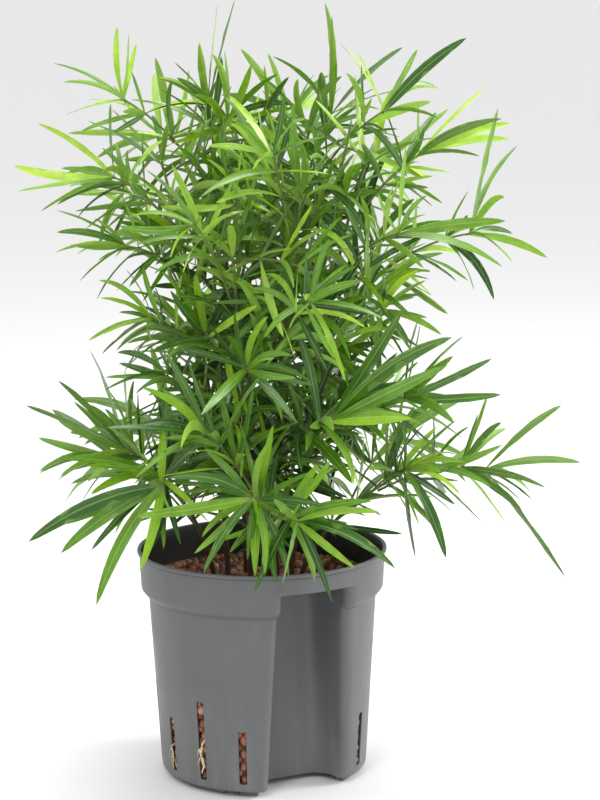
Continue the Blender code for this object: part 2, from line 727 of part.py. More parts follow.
def choose_leaf(base, out, way, stem, last, rng, obstacles):
    """Draws a leaf until one clears what is placed: (curve, side, up, width, stations)."""
    opening = TIP_OPENING if last else WHORL_OPENING
    size = stem.leaf_length * (1.0 if last else 0.86)
    stations = TIP_LEAF_STATIONS if last else SIDE_LEAF_STATIONS
    for attempt in range(TRIES):
        loose = 1.0 + 0.03 * attempt
        angle = opening + rng.gauss(0, LEAF_SCATTER) * loose
        lean = way * math.cos(angle) + out * math.sin(angle)
        lean += way.cross(out) * rng.gauss(0, LEAF_SCATTER) * loose
        lean.normalize()
        length = size * rng.uniform(0.72, 1.12)
        side, up = leaf_axes(lean, way, rng.gauss(0, LEAF_ROLL) * loose)
        bend = Vector((0, 0, -1)) * rng.uniform(*LEAF_DROOP) + side * rng.gauss(0, LEAF_SWING)
        bend += up * rng.uniform(-LEAF_CURL, LEAF_CURL)
        bend -= lean * bend.dot(lean)
        curve = bent_line(base, lean * length, bend * length)
        width = length * LEAF_WIDTH_SHARE * rng.uniform(0.85, 1.15)
        if claim_room(curve, side, up, width, stations, stem, obstacles):
            return curve, side, up, width, stations
    return None


def aim_leaf(base, tip, way, stem, rng, obstacles):
    """A leaf from its base to a given tip, arched a little, or None where there is no room."""
    run = tip - base
    for attempt in range(TRIES):
        loose = 1.0 + 0.05 * attempt
        lift = Vector((0, 0, 1)) * AIMED_ARCH * rng.uniform(0.3, 1.3)
        lift += Vector([rng.gauss(0, 0.03) for _ in range(3)]) * loose
        lift = (lift - run.normalized() * lift.dot(run.normalized())) * run.length
        side, up = leaf_axes(run.normalized(), way, rng.gauss(0, LEAF_ROLL) * loose)
        curve = bent_line(base, run + lift, -lift)
        width = run.length * LEAF_WIDTH_SHARE * rng.uniform(0.9, 1.1)
        if claim_room(curve, side, up, width, TIP_LEAF_STATIONS, stem, obstacles):
            return curve, side, up, width, TIP_LEAF_STATIONS
    return None


def grow_leaf(bm, low, high, i, leaf):
    """Grows a leaf out of one side of a hub, in place of that side's face."""
    curve, side, up, width, stations = leaf
    j = (i + 1) % STEM_SIDES
    if side.dot(low[j].co - low[i].co) < 0:
        side = -side
    sections = leaf_rings(curve, side, up, width, LEAF_KEEL, stations)
    rings = [[bm.verts.new(p) for p in section] for section in sections]
    tip = bm.verts.new(curve(1.0))
    left, right, keel = rings[0]
    bm.faces.new((low[i], low[j], keel))
    bm.faces.new((low[j], high[j], right, keel))
    bm.faces.new((high[j], high[i], left, right))
    bm.faces.new((high[i], low[i], keel, left))
    for near, far in zip(rings, rings[1:]):
        for a in range(3):
            b = (a + 1) % 3
            bm.faces.new((near[b], near[a], far[a], far[b]))
    for a in range(3):
        bm.faces.new((rings[-1][(a + 1) % 3], rings[-1][a], tip))


def stem_rings(stem):
    """Rings of a stem from its foot to its tip, and (ring, middle, way) of each whorl on it."""
    foot_way = Vector((0, 0, 1)) if stem.level_foot else bezier_way(*stem.curve, 0.0)
    rings = [ring_round(stem.curve[0], foot_way, stem.radii[0], STEM_SIDES)]
    whorls = []
    halfway = stem.whorls[0] / 2
    middle = bezier(*stem.curve, halfway)
    radius = lerp(*stem.radii, halfway)
    rings.append(ring_round(middle, bezier_way(*stem.curve, halfway), radius, STEM_SIDES))
    for share in stem.whorls:
        way = bezier_way(*stem.curve, share)
        middle = bezier(*stem.curve, share)
        radius = lerp(*stem.radii, share)
        whorls.append((len(rings), middle, way))
        offset = way * HUB_LENGTH / 2
        rings.append(ring_round(middle - offset, way, radius + HUB_SWELL, STEM_SIDES))
        rings.append(ring_round(middle + offset, way, radius, STEM_SIDES))
    return rings, whorls


def hub_sides(rings, low, middle, way):
    """(base, way out) of each side of a hub that a leaf can grow from."""
    found = []
    for i in range(STEM_SIDES):
        j = (i + 1) % STEM_SIDES
        base = (rings[low][i] + rings[low][j] + rings[low + 1][j] + rings[low + 1][i]) / 4
        out = base - middle
        found.append((base, (out - way * out.dot(way)).normalized()))
    return found


def aimed_leaves(stem, rng, obstacles):
    """The chosen leaves round a stem's tip, each on the free side that faces it best."""
    rings, whorls = stem_rings(stem)
    low, middle, way = whorls[-1]
    sides = hub_sides(rings, low, middle, way)
    grown = {}
    for aim in stem.aims:
        free = [i for i in range(STEM_SIDES) if (low, i) not in grown]
        best = max(free, key=lambda i: sides[i][1].dot(aim.normalized()))
        leaf = aim_leaf(sides[best][0], middle + aim, way, stem, rng, obstacles)
        if leaf:
            grown[(low, best)] = leaf
        else:
            print(f"no room for a chosen leaf of {stem.name}")
    return grown


def add_leafy_stem(stem, grown, rng, finish, obstacles):
    """A stem with a whorl of leaves at each of its hubs, as one grown piece."""
    rings, whorls = stem_rings(stem)
    bm = bmesh.new()
    rows = [[bm.verts.new(p) for p in ring] for ring in rings]
    for low, middle, way in whorls:
        last = low == len(rings) - 2
        free = [i for i in range(STEM_SIDES) if (low, i) not in grown]
        rng.shuffle(free)
        wanted = stem.leaf_count + last - (STEM_SIDES - len(free))
        sides = hub_sides(rings, low, middle, way)
        for i in free[: max(0, wanted)]:
            leaf = choose_leaf(*sides[i], way, stem, last, rng, obstacles)
            if leaf:
                grown[(low, i)] = leaf
    for r in range(len(rows) - 1):
        for i in range(STEM_SIDES):
            j = (i + 1) % STEM_SIDES
            if (r, i) in grown:
                grow_leaf(bm, rows[r], rows[r + 1], i, grown[(r, i)])
            else:
                bm.faces.new((rows[r][i], rows[r][j], rows[r + 1][j], rows[r + 1][i]))
    bm.faces.new(reversed(rows[0]))
    bm.faces.new(rows[-1])
    add_object(stem.name, bm, finish)
    return len(grown)


def make_plant(finish, obstacles):
    canes = make_canes()
    for cane in canes:
        obstacles.add(*swollen_tube(cane), cane.name)
    stems = list(canes)
    for number in range(1, len(SHOOTS) + 1):
        twig = make_twig(number, canes, random.Random(SEED * 1000 + number), obstacles)
        if twig is None:
            print(f"no room for the twig of shoot {number}")
            continue
        obstacles.add(*swollen_tube(twig), twig.name)
        stems.append(twig)
    aimed = {stem.name: aimed_leaves(stem, random.Random(SEED), obstacles) for stem in stems}
    count = 0
    for number, stem in enumerate(reversed(stems)):
        rng = random.Random(SEED * 2000 + number)
        count += add_leafy_stem(stem, aimed[stem.name], rng, finish, obstacles)
    print(f"{len(stems)} stems with {count} leaves")


def beside_ball(bearing, share_out):
    """A level place between the root ball's edge and the wall, as seen from the ball's centre."""
    out = level_way(bearing)
    middle = BALL_CENTRE.dot(out)
    sideways = (BALL_CENTRE - out * middle).length
    wall = math.sqrt((BODY_TOP_RADIUS - WALL) ** 2 - sideways**2) - middle
    return BALL_CENTRE + out * lerp(BALL_RADIUS, wall, share_out)


def make_dry_leaf(name, start, end, finish):
    """A withered leaf: a thin curled blade on the pebbles, and on the ball's crown where it reaches it."""
    way = end - start
    up = Vector((0, 0, 1))
    curl = up * DRY_CURL * way.length

    def curve(share):
        return start + way * share + curl * share**2

    side = up.cross(way).normalized()
    rings = leaf_rings(curve, side, up, way.length * DRY_WIDTH_SHARE, LEAF_KEEL, DRY_STATIONS)
    rests = []
    for p in (p for ring in rings for p in ring):
        on_ball = (p.xy - BALL_CENTRE.xy).length < BALL_RADIUS
        rests.append((BALL_PROUD if on_ball else 0.0) + GAP - p.z)
    lift = up * (bed_top() + max(rests))
    bm = bmesh.new()
    skin(bm, [[p + lift for p in ring] for ring in rings])
    add_object(name, bm, finish)


def make_root(name, slot, height, drop, sideways, radius, finish):
    """A root that comes out through a slot and hangs down the outside of the wall."""
    angle = next(a for number, a, _ in slot_angles() if number == slot)
    away = outward(angle)
    along = Vector((math.cos(angle), math.sin(angle), 0))
    stand_off = radius + GAP

    def at(z, out, shift):
        return away * (body_radius(z) + out) + along * shift + Vector((0, 0, z))

    inner = at(height, -WALL + 2 * radius, sideways * 0.2)
    knee = at(height - drop * 0.15, stand_off + 0.0012, sideways * 0.5)
    points = [inner, knee]
    for share in (0.4, 0.7, 1.0):
        points.append(at(height - drop * share, stand_off + 0.0008, sideways * (0.5 + 0.5 * share)))
    data = bpy.data.curves.new(name, "CURVE")
    data.dimensions = "3D"
    data.bevel_depth = radius
    data.bevel_resolution = 1
    data.use_fill_caps = True
    data.resolution_u = 2
    line = data.splines.new("POLY")
    line.points.add(len(points) - 1)
    for spot, p in zip(line.points, points):
        spot.co = (*p, 1.0)
    obj = bpy.data.objects.new(name, data)
    data.materials.append(finish)
    bpy.context.scene.collection.objects.link(obj)


def main():
    for obj in list(bpy.data.objects):
        bpy.data.objects.remove(obj)
    plastic = material("pot_plastic", (0.115, 0.125, 0.132), 0.55)
    clay = material("fired_clay", (0.22, 0.085, 0.045), 0.9)
    green = material("leaf_green", (0.055, 0.19, 0.022), 0.42)
    dry = material("dry_leaf", (0.42, 0.28, 0.06), 0.75)
    root = material("root_skin", (0.62, 0.50, 0.33), 0.7)
    earth = material("root_ball", (0.07, 0.035, 0.018), 0.95)

    obstacles = Obstacles()
    add_pot_obstacle(obstacles)
    make_pot(plastic)
    make_bed(clay)
    make_root_ball(earth)
    for number, ends in enumerate(DRY_LEAVES, 1):
        make_dry_leaf(f"dry_leaf_{number}", beside_ball(*ends[:2]), beside_ball(*ends[2:]), dry)
    for number, (slot, height, drop, sideways, radius) in enumerate(ROOTS, 1):
        make_root(f"root_strand_{number}", slot, height, drop, sideways, radius, root)
    make_plant(green, obstacles)


main()
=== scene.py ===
import math

import bpy
import numpy as np
from mathutils import Matrix, Vector


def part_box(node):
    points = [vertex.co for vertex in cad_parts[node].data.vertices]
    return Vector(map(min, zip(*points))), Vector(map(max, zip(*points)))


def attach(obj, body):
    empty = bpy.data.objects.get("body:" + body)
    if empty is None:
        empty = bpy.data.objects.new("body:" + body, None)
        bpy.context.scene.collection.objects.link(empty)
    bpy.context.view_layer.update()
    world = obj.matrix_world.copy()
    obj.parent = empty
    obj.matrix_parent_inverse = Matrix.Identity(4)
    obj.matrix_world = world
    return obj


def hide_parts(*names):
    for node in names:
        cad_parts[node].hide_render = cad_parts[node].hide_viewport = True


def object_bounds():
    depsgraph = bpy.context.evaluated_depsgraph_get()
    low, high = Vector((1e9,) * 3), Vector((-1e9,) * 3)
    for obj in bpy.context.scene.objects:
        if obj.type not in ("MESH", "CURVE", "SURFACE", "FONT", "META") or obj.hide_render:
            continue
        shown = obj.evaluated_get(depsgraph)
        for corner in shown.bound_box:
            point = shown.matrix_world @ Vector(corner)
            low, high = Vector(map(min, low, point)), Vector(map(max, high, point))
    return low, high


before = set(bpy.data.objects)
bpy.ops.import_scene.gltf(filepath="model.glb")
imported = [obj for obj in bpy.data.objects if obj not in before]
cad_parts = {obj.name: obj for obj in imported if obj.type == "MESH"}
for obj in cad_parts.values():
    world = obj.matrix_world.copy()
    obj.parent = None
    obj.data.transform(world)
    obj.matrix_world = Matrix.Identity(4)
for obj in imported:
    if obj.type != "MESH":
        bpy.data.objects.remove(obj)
cadBox = [[float(v) for v in corner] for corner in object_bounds()]
print("frame loaded:", len(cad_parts), "nodes")


def lerp(a, b, share):
    return a + (b - a) * share


def unit(vectors):
    # each vector divided by its own length
    return vectors / np.maximum(np.linalg.norm(vectors, axis=-1, keepdims=True), 1e-12)


def smoothShare(share):
    # rises from 0 to 1 with level ends: three times the square less twice the cube
    share = np.clip(share, 0.0, 1.0)
    return share * share * (3 - 2 * share)


def makePiece(name, points, faceSets, finishes, nodes, finishIndex=None, cornerMap=None,
              attributes=None, sharpAngle=40):
    # faceSets are arrays of corner indices, one array for each number of corners
    mesh = bpy.data.meshes.new(name)
    corners = np.concatenate([faces.ravel() for faces in faceSets])
    sizes = np.concatenate([np.full(len(faces), faces.shape[1]) for faces in faceSets])
    mesh.vertices.add(len(points))
    mesh.vertices.foreach_set("co", np.asarray(points, np.float32).ravel())
    mesh.loops.add(len(corners))
    mesh.loops.foreach_set("vertex_index", corners.astype(np.int32))
    mesh.polygons.add(len(sizes))
    mesh.polygons.foreach_set("loop_start", (np.cumsum(sizes) - sizes).astype(np.int32))
    for finish in finishes:
        mesh.materials.append(finish)
    if finishIndex is not None:
        mesh.polygons.foreach_set("material_index", finishIndex.astype(np.int32))
    mesh.update(calc_edges=True)
    if cornerMap is not None:
        layer = mesh.uv_layers.new(name="surfaceMap")
        layer.data.foreach_set("uv", cornerMap.astype(np.float32).ravel())
    for key, values in (attributes or {}).items():
        attribute = mesh.attributes.new(key, "FLOAT", "POINT")
        attribute.data.foreach_set("value", np.asarray(values, np.float32))
    mesh.shade_smooth()
    mesh.set_sharp_from_angle(angle=math.radians(sharpAngle))
    piece = bpy.data.objects.new(name, mesh)
    bpy.context.scene.collection.objects.link(piece)
    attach(piece, "root")
    if nodes:
        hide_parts(*nodes)
    return piece


def gridFaces(rows, columns, closed=True, first=0):
    # quads between neighbouring rows; a closed grid also joins the last column to the first
    r, c = np.meshgrid(np.arange(rows - 1), np.arange(columns if closed else columns - 1), indexing="ij")
    n = (c + 1) % columns
    quads = np.stack([r * columns + c, r * columns + n, (r + 1) * columns + n, (r + 1) * columns + c], -1)
    return quads.reshape(-1, 4) + first


class NodeTree:
    # thin helper round a shader tree: each call adds a node, links the sockets and sets the values
    def __init__(self, tree):
        self.tree = tree

    def add(self, kind, inputs=None, **settings):
        node = self.tree.nodes.new(kind)
        for key, value in settings.items():
            setattr(node, key, value)
        for key, value in (inputs or {}).items():
            if isinstance(value, bpy.types.NodeSocket):
                self.tree.links.new(value, node.inputs[key])
            else:
                node.inputs[key].default_value = value
        return node

    def math(self, operation, a, b=0.0, clamp=False):
        return self.add("ShaderNodeMath", {0: a, 1: b}, operation=operation, use_clamp=clamp).outputs[0]

    def mix(self, share, a, b, blend="MIX"):
        node = self.add("ShaderNodeMix", data_type="RGBA", blend_type=blend)
        for socket, value in ((node.inputs[0], share), (node.inputs[6], a), (node.inputs[7], b)):
            if isinstance(value, bpy.types.NodeSocket):
                self.tree.links.new(value, socket)
            else:
                socket.default_value = value
        return node.outputs[2]

    def ramp(self, share, stops):
        node = self.add("ShaderNodeValToRGB", {0: share})
        while len(node.color_ramp.elements) < len(stops):
            node.color_ramp.elements.new(0.5)
        for element, (place, colour) in zip(node.color_ramp.elements, stops):
            element.position = place
            element.color = (*colour, 1.0)
        return node.outputs[0]

    def remap(self, value, low, high, newLow=0.0, newHigh=1.0):
        inputs = {0: value, 1: low, 2: high, 3: newLow, 4: newHigh}
        return self.add("ShaderNodeMapRange", inputs).outputs[0]

    def noise(self, vector, scale, detail=3.0, roughness=0.55):
        inputs = {"Vector": vector, "Scale": scale, "Detail": detail, "Roughness": roughness}
        return self.add("ShaderNodeTexNoise", inputs).outputs[0]


def makeGroup(name, inputs, outputs, build):
    # a node group with named float, colour or vector inputs and outputs
    group = bpy.data.node_groups.new(name, "ShaderNodeTree")
    for label, kind, value in inputs:
        socket = group.interface.new_socket(name=label, in_out="INPUT", socket_type=kind)
        if value is not None:
            socket.default_value = value
    for label, kind in outputs:
        group.interface.new_socket(name=label, in_out="OUTPUT", socket_type=kind)
    made = NodeTree(group)
    source = made.add("NodeGroupInput").outputs
    results = build(made, source)
    target = made.add("NodeGroupOutput")
    for label, value in results.items():
        group.links.new(value, target.inputs[label])
    return group


def buildMottle(made, source):
    # coarse clouds and fine grain round one half, their weighted sum as a swing round one, and the grain
    # alone as a height
    clouds = made.noise(source["Place"], source["Coarse"], 4.0)
    grain = made.noise(source["Place"], source["Fine"], 2.0, 0.6)
    swing = made.math("ADD", made.math("MULTIPLY", made.math("SUBTRACT", clouds, 0.5), source["Clouds"]),
                      made.math("MULTIPLY", made.math("SUBTRACT", grain, 0.5), source["Grain"]))
    return {"Swing": made.math("ADD", swing, 1.0), "Height": grain, "Clouds": clouds}


mottle = makeGroup(
    "mottle",
    [("Place", "NodeSocketVector", None), ("Coarse", "NodeSocketFloat", 40.0),
     ("Fine", "NodeSocketFloat", 900.0),
     ("Clouds", "NodeSocketFloat", 0.3), ("Grain", "NodeSocketFloat", 0.3)],
    [("Swing", "NodeSocketFloat"), ("Height", "NodeSocketFloat"), ("Clouds", "NodeSocketFloat")],
    buildMottle,
)


def buildBlade(made, source):
    # lines along a blade from its across coordinate stretched many times, blotches, the distance from the
    # midrib, and whether this is the underside, whose across coordinate starts at 2
    parts = made.add("ShaderNodeSeparateXYZ", {0: source["Map"]}).outputs
    under = made.math("GREATER_THAN", parts[0], 1.5)
    across = made.math("SUBTRACT", parts[0], made.math("MULTIPLY", under, 2.0))
    seed = made.math("MULTIPLY", source["Seed"], 37.0)
    stretched = made.add("ShaderNodeCombineXYZ", {
        0: made.math("MULTIPLY", across, source["Count"]),
        1: made.math("MULTIPLY", parts[1], 2.2),
        2: seed,
    }).outputs[0]
    loose = made.add("ShaderNodeCombineXYZ", {
        0: made.math("MULTIPLY", across, 0.8),
        1: made.math("MULTIPLY", parts[1], 5.0),
        2: seed,
    }).outputs[0]
    off = made.math("ABSOLUTE", made.math("SUBTRACT", across, 0.5))
    return {
        "Lines": made.noise(stretched, 1.0, 2.0, 0.5),
        "Blotches": made.noise(loose, 1.0, 3.0, 0.6),
        "Midrib": made.remap(off, 0.0, source["Rib"], 1.0, 0.0),
        "Edge": made.remap(off, 0.40, 0.5, 0.0, 1.0),
        "Under": under,
        "Along": parts[1],
    }


blade = makeGroup(
    "blade",
    [("Map", "NodeSocketVector", None), ("Seed", "NodeSocketFloat", 0.0),
     ("Count", "NodeSocketFloat", 16.0),
     ("Rib", "NodeSocketFloat", 0.07)],
    [("Lines", "NodeSocketFloat"), ("Blotches", "NodeSocketFloat"), ("Midrib", "NodeSocketFloat"),
     ("Edge", "NodeSocketFloat"), ("Under", "NodeSocketFloat"), ("Along", "NodeSocketFloat")],
    buildBlade,
)


def newMaterial(name):
    finish = bpy.data.materials.new(name)
    finish.use_nodes = True
    shader = finish.node_tree.nodes["Principled BSDF"]
    return finish, NodeTree(finish.node_tree), shader


def placeOf(made):
    return made.add("ShaderNodeTexCoord").outputs["Object"]


def mapOf(made):
    return made.add("ShaderNodeUVMap", uv_map="surfaceMap").outputs[0]


def attributeOf(made, name):
    return made.add("ShaderNodeAttribute", attribute_name=name).outputs["Fac"]


def useGroup(made, group, **inputs):
    node = made.add("ShaderNodeGroup", node_tree=group)
    for key, value in inputs.items():
        if isinstance(value, bpy.types.NodeSocket):
            made.tree.links.new(value, node.inputs[key])
        else:
            node.inputs[key].default_value = value
    return node.outputs


def scaleColour(made, colour, factor):
    # multiplies a colour by a number
    return made.add("ShaderNodeVectorMath", {0: colour, 3: factor}, operation="SCALE").outputs[0]


def addBump(made, shader, height, strength, distance):
    bump = made.add("ShaderNodeBump", {"Height": height, "Strength": strength, "Distance": distance})
    made.tree.links.new(bump.outputs[0], shader.inputs["Normal"])


pot = {
    "rimBead": 0.0034,
    "collarDrop": 0.0335,
    "collarTopRadius": 0.1083,
    "collarLowRadius": 0.1069,
    "collarChamfer": 0.0062,
    "bodyTopRadius": 0.1004,
    "bodyBaseRadius": 0.0910,
    "baseCorner": 0.0032,
    "wall": 0.0020,
    "floor": 0.0025,
    "channelBack": 0.050,
    "channelTopHalf": 0.0305,
    "channelBaseHalf": 0.0365,
    "channelPower": 6,  # the higher, the flatter the channel's back
    "channelBand": 0.0185,
    "lipReach": 0.011,  # how far along the wall and round the body each lip is rounded
    "footHeight": 0.0052,
    "footRadius": 0.082,
    "footWidth": 0.007,
    "shortFoot": (30.5, 42.0),  # degrees from the channel
    "longFeet": (51.5, 35.0, 44.5, 3),  # where the first starts, its arc, the pitch and how many each side
    "centreFootRadius": 0.01375,  # to the corners of the four-sided foot
    "slotWidth": 0.0070,
    "slotBottom": 0.013,
    "slotShort": 0.048,
    "slotTall": 0.071,
    "slotRound": 0.0016,  # height of a slot's rounded ends
    "firstSlot": 38.0,  # degrees from the channel
    "slotsPerSide": 6,
    "plasticColour": (0.108, 0.111, 0.115),
    # near-black painted shade for the inside of the wall, standing in for the shade inside the pot
    "insideColour": (0.020, 0.020, 0.021),
}
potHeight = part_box("grow_pot")[1].z
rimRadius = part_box("grow_pot")[1].y
shelfZ = potHeight - pot["channelBand"]
collarZ = potHeight - pot["collarDrop"]
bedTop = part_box("clay_pebbles")[1].z


def makePotPlastic():
    finish, made, shader = newMaterial("potPlastic")
    place = placeOf(made)
    speckle = useGroup(made, mottle, Place=place, Coarse=28.0, Fine=1500.0, Clouds=0.22, Grain=0.75)
    streakPlace = made.add("ShaderNodeMapping", {"Vector": place, "Scale": (1.0, 1.0, 0.12)}).outputs[0]
    streaks = made.noise(streakPlace, 90.0, 3.0)
    height = made.add("ShaderNodeSeparateXYZ", {0: place}).outputs[2]
    dusty = made.math("MULTIPLY", made.remap(height, 0.0, 0.10, 0.30, 0.0), streaks)
    base = made.mix(dusty, (*pot["plasticColour"], 1), (0.36, 0.35, 0.33, 1))
    # the wall's inside (attribute inner) gets the near-black painted shade in place of the plastic's own
    # grey
    base = made.mix(attributeOf(made, "inner"), base, (*pot["insideColour"], 1))
    shade = made.math("MULTIPLY", speckle["Swing"], made.remap(streaks, 0.3, 0.7, 0.95, 1.05))
    made.tree.links.new(scaleColour(made, base, shade), shader.inputs["Base Color"])
    made.tree.links.new(made.remap(speckle["Clouds"], 0.3, 0.7, 0.42, 0.54), shader.inputs["Roughness"])
    shader.inputs["Specular IOR Level"].default_value = 0.45
    addBump(made, shader, speckle["Height"], 0.18, 0.0004)
    return finish


def slotList():
    # (angle from the channel, height) of each slot, short and tall in turn away from the channel
    first = math.radians(pot["firstSlot"])
    pitch = (math.pi - first) / pot["slotsPerSide"]
    found = []
    for number in range(1, pot["slotsPerSide"] + 1):
        height = pot["slotTall"] if number % 2 == 0 else pot["slotShort"]
        angle = first + (number - 1) * pitch
        found += [(angle, height), (2 * math.pi - angle, height)]
    return sorted(found + [(math.pi, pot["slotShort"])])


def bodyRadius(z):
    top = collarZ - pot["collarChamfer"]
    low = pot["footHeight"] + pot["baseCorner"]
    return lerp(pot["bodyBaseRadius"], pot["bodyTopRadius"], (z - low) / (top - low))


def collarRadius(z):
    return lerp(pot["collarLowRadius"], pot["collarTopRadius"], (z - collarZ) / pot["collarDrop"])


fixedStart = math.radians(33.0)  # columns past this angle stand at the same angle in every row


def arcAngles():
    # even steps round the back, with the steps inside a slot left out and one column at each of its edges
    half = pot["slotWidth"] / 2 / bodyRadius(0.04)
    edges = np.array([[angle - half, angle + half] for angle, _ in slotList()])
    even = np.linspace(fixedStart, 2 * math.pi - fixedStart, 121)
    clear = (even[:, None] < edges[None, :, 0] - 0.012) | (even[:, None] > edges[None, :, 1] + 0.012)
    return np.sort(np.concatenate([even[clear.all(axis=1)], edges.ravel()]))


potArc = arcAngles()
channelColumns, lipColumns, sideColumns = 24, 12, 4


def potOutline(radius, z, blend, inset):
    # the wall's outline at one height. The channel's wall stands off its back by a power of the sideways
    # distance, each lip is a parabola from the wall to the round body, and blend 1 closes the channel
    half = lerp(pot["channelBaseHalf"], pot["channelTopHalf"], min(z, shelfZ) / shelfZ)
    lip = math.sqrt(radius**2 - half**2)
    fine = np.linspace(0, 1, 400)
    depth = lerp(pot["channelBack"], lip, fine ** pot["channelPower"])
    length = np.concatenate([[0], np.cumsum(np.hypot(np.diff(fine * half), np.diff(depth)))])
    share = np.interp(np.linspace(0, length[-1] - pot["lipReach"], channelColumns + 1), length, fine)
    wall = np.stack([half * share, lerp(pot["channelBack"], lip, share ** pot["channelPower"])], -1)
    turn = math.asin(half / radius) + pot["lipReach"] / radius
    t = (np.arange(1, lipColumns + 1) / lipColumns)[:, None]
    corner, landing = np.array([half, lip]), radius * np.array([math.sin(turn), math.cos(turn)])
    bend = (1 - t) ** 2 * wall[-1] + 2 * t * (1 - t) * corner + t**2 * landing
    side = np.linspace(turn, fixedStart, sideColumns + 1)[1:-1]
    side = radius * np.stack([np.sin(side), np.cos(side)], -1)
    right = np.concatenate([wall, bend, side])
    closed = np.sqrt(radius**2 - np.minimum(right[:, 0], radius * 0.99) ** 2)
    right[:, 1] = lerp(right[:, 1], closed, blend)
    left = right[1:] * [-1, 1]
    arc = radius * np.stack([np.sin(potArc), np.cos(potArc)], -1)
    points = np.concatenate([right, arc, left[::-1]]) * [1, -1]
    along = unit(np.roll(points, -1, axis=0) - np.roll(points, 1, axis=0))
    points = points + inset * np.stack([-along[:, 1], along[:, 0]], -1)
    return np.column_stack([points, np.full(len(points), z)])


def fanFaces(first, count, centre, up):
    # triangles from a ring of points to one point in its middle
    a = np.arange(count)
    faces = np.stack([first + a, first + (a + 1) % count, np.full(count, centre)], -1)
    return faces if up else faces[:, ::-1]


def slotPinch(z, bottom, top):
    # how far a slot's edge moves in at its rounded ends: 1 leaves it, less narrows it
    off = np.minimum(z - bottom, top - z) / pot["slotRound"]
    return lerp(0.62, 1.0, np.sqrt(np.clip(1 - (1 - np.clip(off, 0, 1)) ** 2, 0, 1)))


def potRows():
    # rows of (height, radius, blend, inset) up the outside, over the rim and down the inside
    base, corner, wall, rim = pot["footHeight"], pot["baseCorner"], pot["wall"], potHeight
    bottom = pot["slotBottom"]
    ends = np.array([0.0, 0.0005, pot["slotRound"]])
    slotRows = np.concatenate([bottom + ends, bottom + pot["slotShort"] - ends[::-1],
                               bottom + pot["slotTall"] - ends[::-1]])
    chamferTop, chamferLow = collarZ, collarZ - pot["collarChamfer"]
    upper = np.linspace(0.09, chamferLow - 0.004, 9)
    plain = np.concatenate([np.linspace(0.018, 0.057, 5), [0.070, 0.078], upper])
    bodyRows = np.sort(np.concatenate([slotRows, plain]))
    outside = []
    for a in np.radians([0, 22, 45, 67, 90]):
        radius = pot["bodyBaseRadius"] - corner + corner * math.sin(a)
        outside.append((base + corner * (1 - math.cos(a)), radius, 0.0))
    outside += [(z, bodyRadius(z), 0.0) for z in bodyRows]
    slope = ((-0.06, 0.0), (-0.01, 0.01), (0.0, 0.08), (0.005, 0.24), (0.03, 0.32), (0.5, 0.70),
             (0.86, 0.95), (0.97, 0.99), (1.06, 1.0))
    for share, rise in slope:
        z = lerp(chamferLow, chamferTop, share)
        outside.append((z, lerp(bodyRadius(chamferLow), pot["collarLowRadius"], rise), 0.0))
    outside += [(z, collarRadius(z), 0.0) for z in np.linspace(collarZ + 0.003, shelfZ - 0.0035, 3)]
    under = ((-0.0020, 0.0), (-0.0010, 0.02), (-0.0004, 0.06), (-0.0001, 0.13), (0.0, 0.3), (0.0, 0.6),
             (0.0, 0.86), (0.0001, 0.955), (0.0005, 0.99), (0.0012, 1.0))
    for lift, blend in under:
        outside.append((shelfZ + lift, collarRadius(shelfZ + lift), blend))
    bead, proud = pot["rimBead"], rimRadius - pot["collarTopRadius"]
    outside += [(z, collarRadius(z), 1.0) for z in np.linspace(shelfZ + 0.004, rim - bead - 0.0016, 3)]
    outside += [(rim - bead - 0.0006, collarRadius(rim - bead) - 0.0001, 1.0),
                (rim - bead - 0.0001, collarRadius(rim - bead) - 0.0004, 1.0)]
    swell = ((0.02, 0.45), (0.09, 0.80), (0.22, 0.96), (0.45, 1.0), (0.74, 0.97), (0.90, 0.84),
             (0.98, 0.62))
    for share, rise in swell:
        outside.append((rim - bead * (1 - share), pot["collarTopRadius"] + proud * rise, 1.0))
    outside = [(z, radius, blend, 0.0) for z, radius, blend in outside]
    top = pot["collarTopRadius"]
    inside = [(rim, top + 0.0020, 1.0, wall), (rim - 0.0002, top + 0.0010, 1.0, wall),
              (rim - 0.0007, top + 0.0004, 1.0, wall), (rim - 0.0016, top, 1.0, wall),
              (rim - 0.008, collarRadius(rim - 0.008), 1.0, wall)]
    over = ((0.0020, 1.0), (0.0006, 0.985), (0.0001, 0.94), (0.0, 0.85), (0.0, 0.5), (0.0, 0.2),
            (-0.0004, 0.08), (-0.0012, 0.02), (-0.0025, 0.0))
    for lift, blend in over:
        inside.append((shelfZ + wall + lift, collarRadius(shelfZ + lift), blend, wall))
    inside += [(collarZ + 0.004, pot["collarLowRadius"], 0.0, wall),
               (collarZ + wall / 2, pot["collarLowRadius"], 0.0, wall),
               (chamferLow + wall / 2, pot["bodyTopRadius"], 0.0, wall)]
    inside += [(z, bodyRadius(z), 0.0, wall) for z in bodyRows[::-1]]
    inside.append((base + pot["floor"], bodyRadius(base + pot["floor"]), 0.0, wall))
    return outside, inside, bodyRows


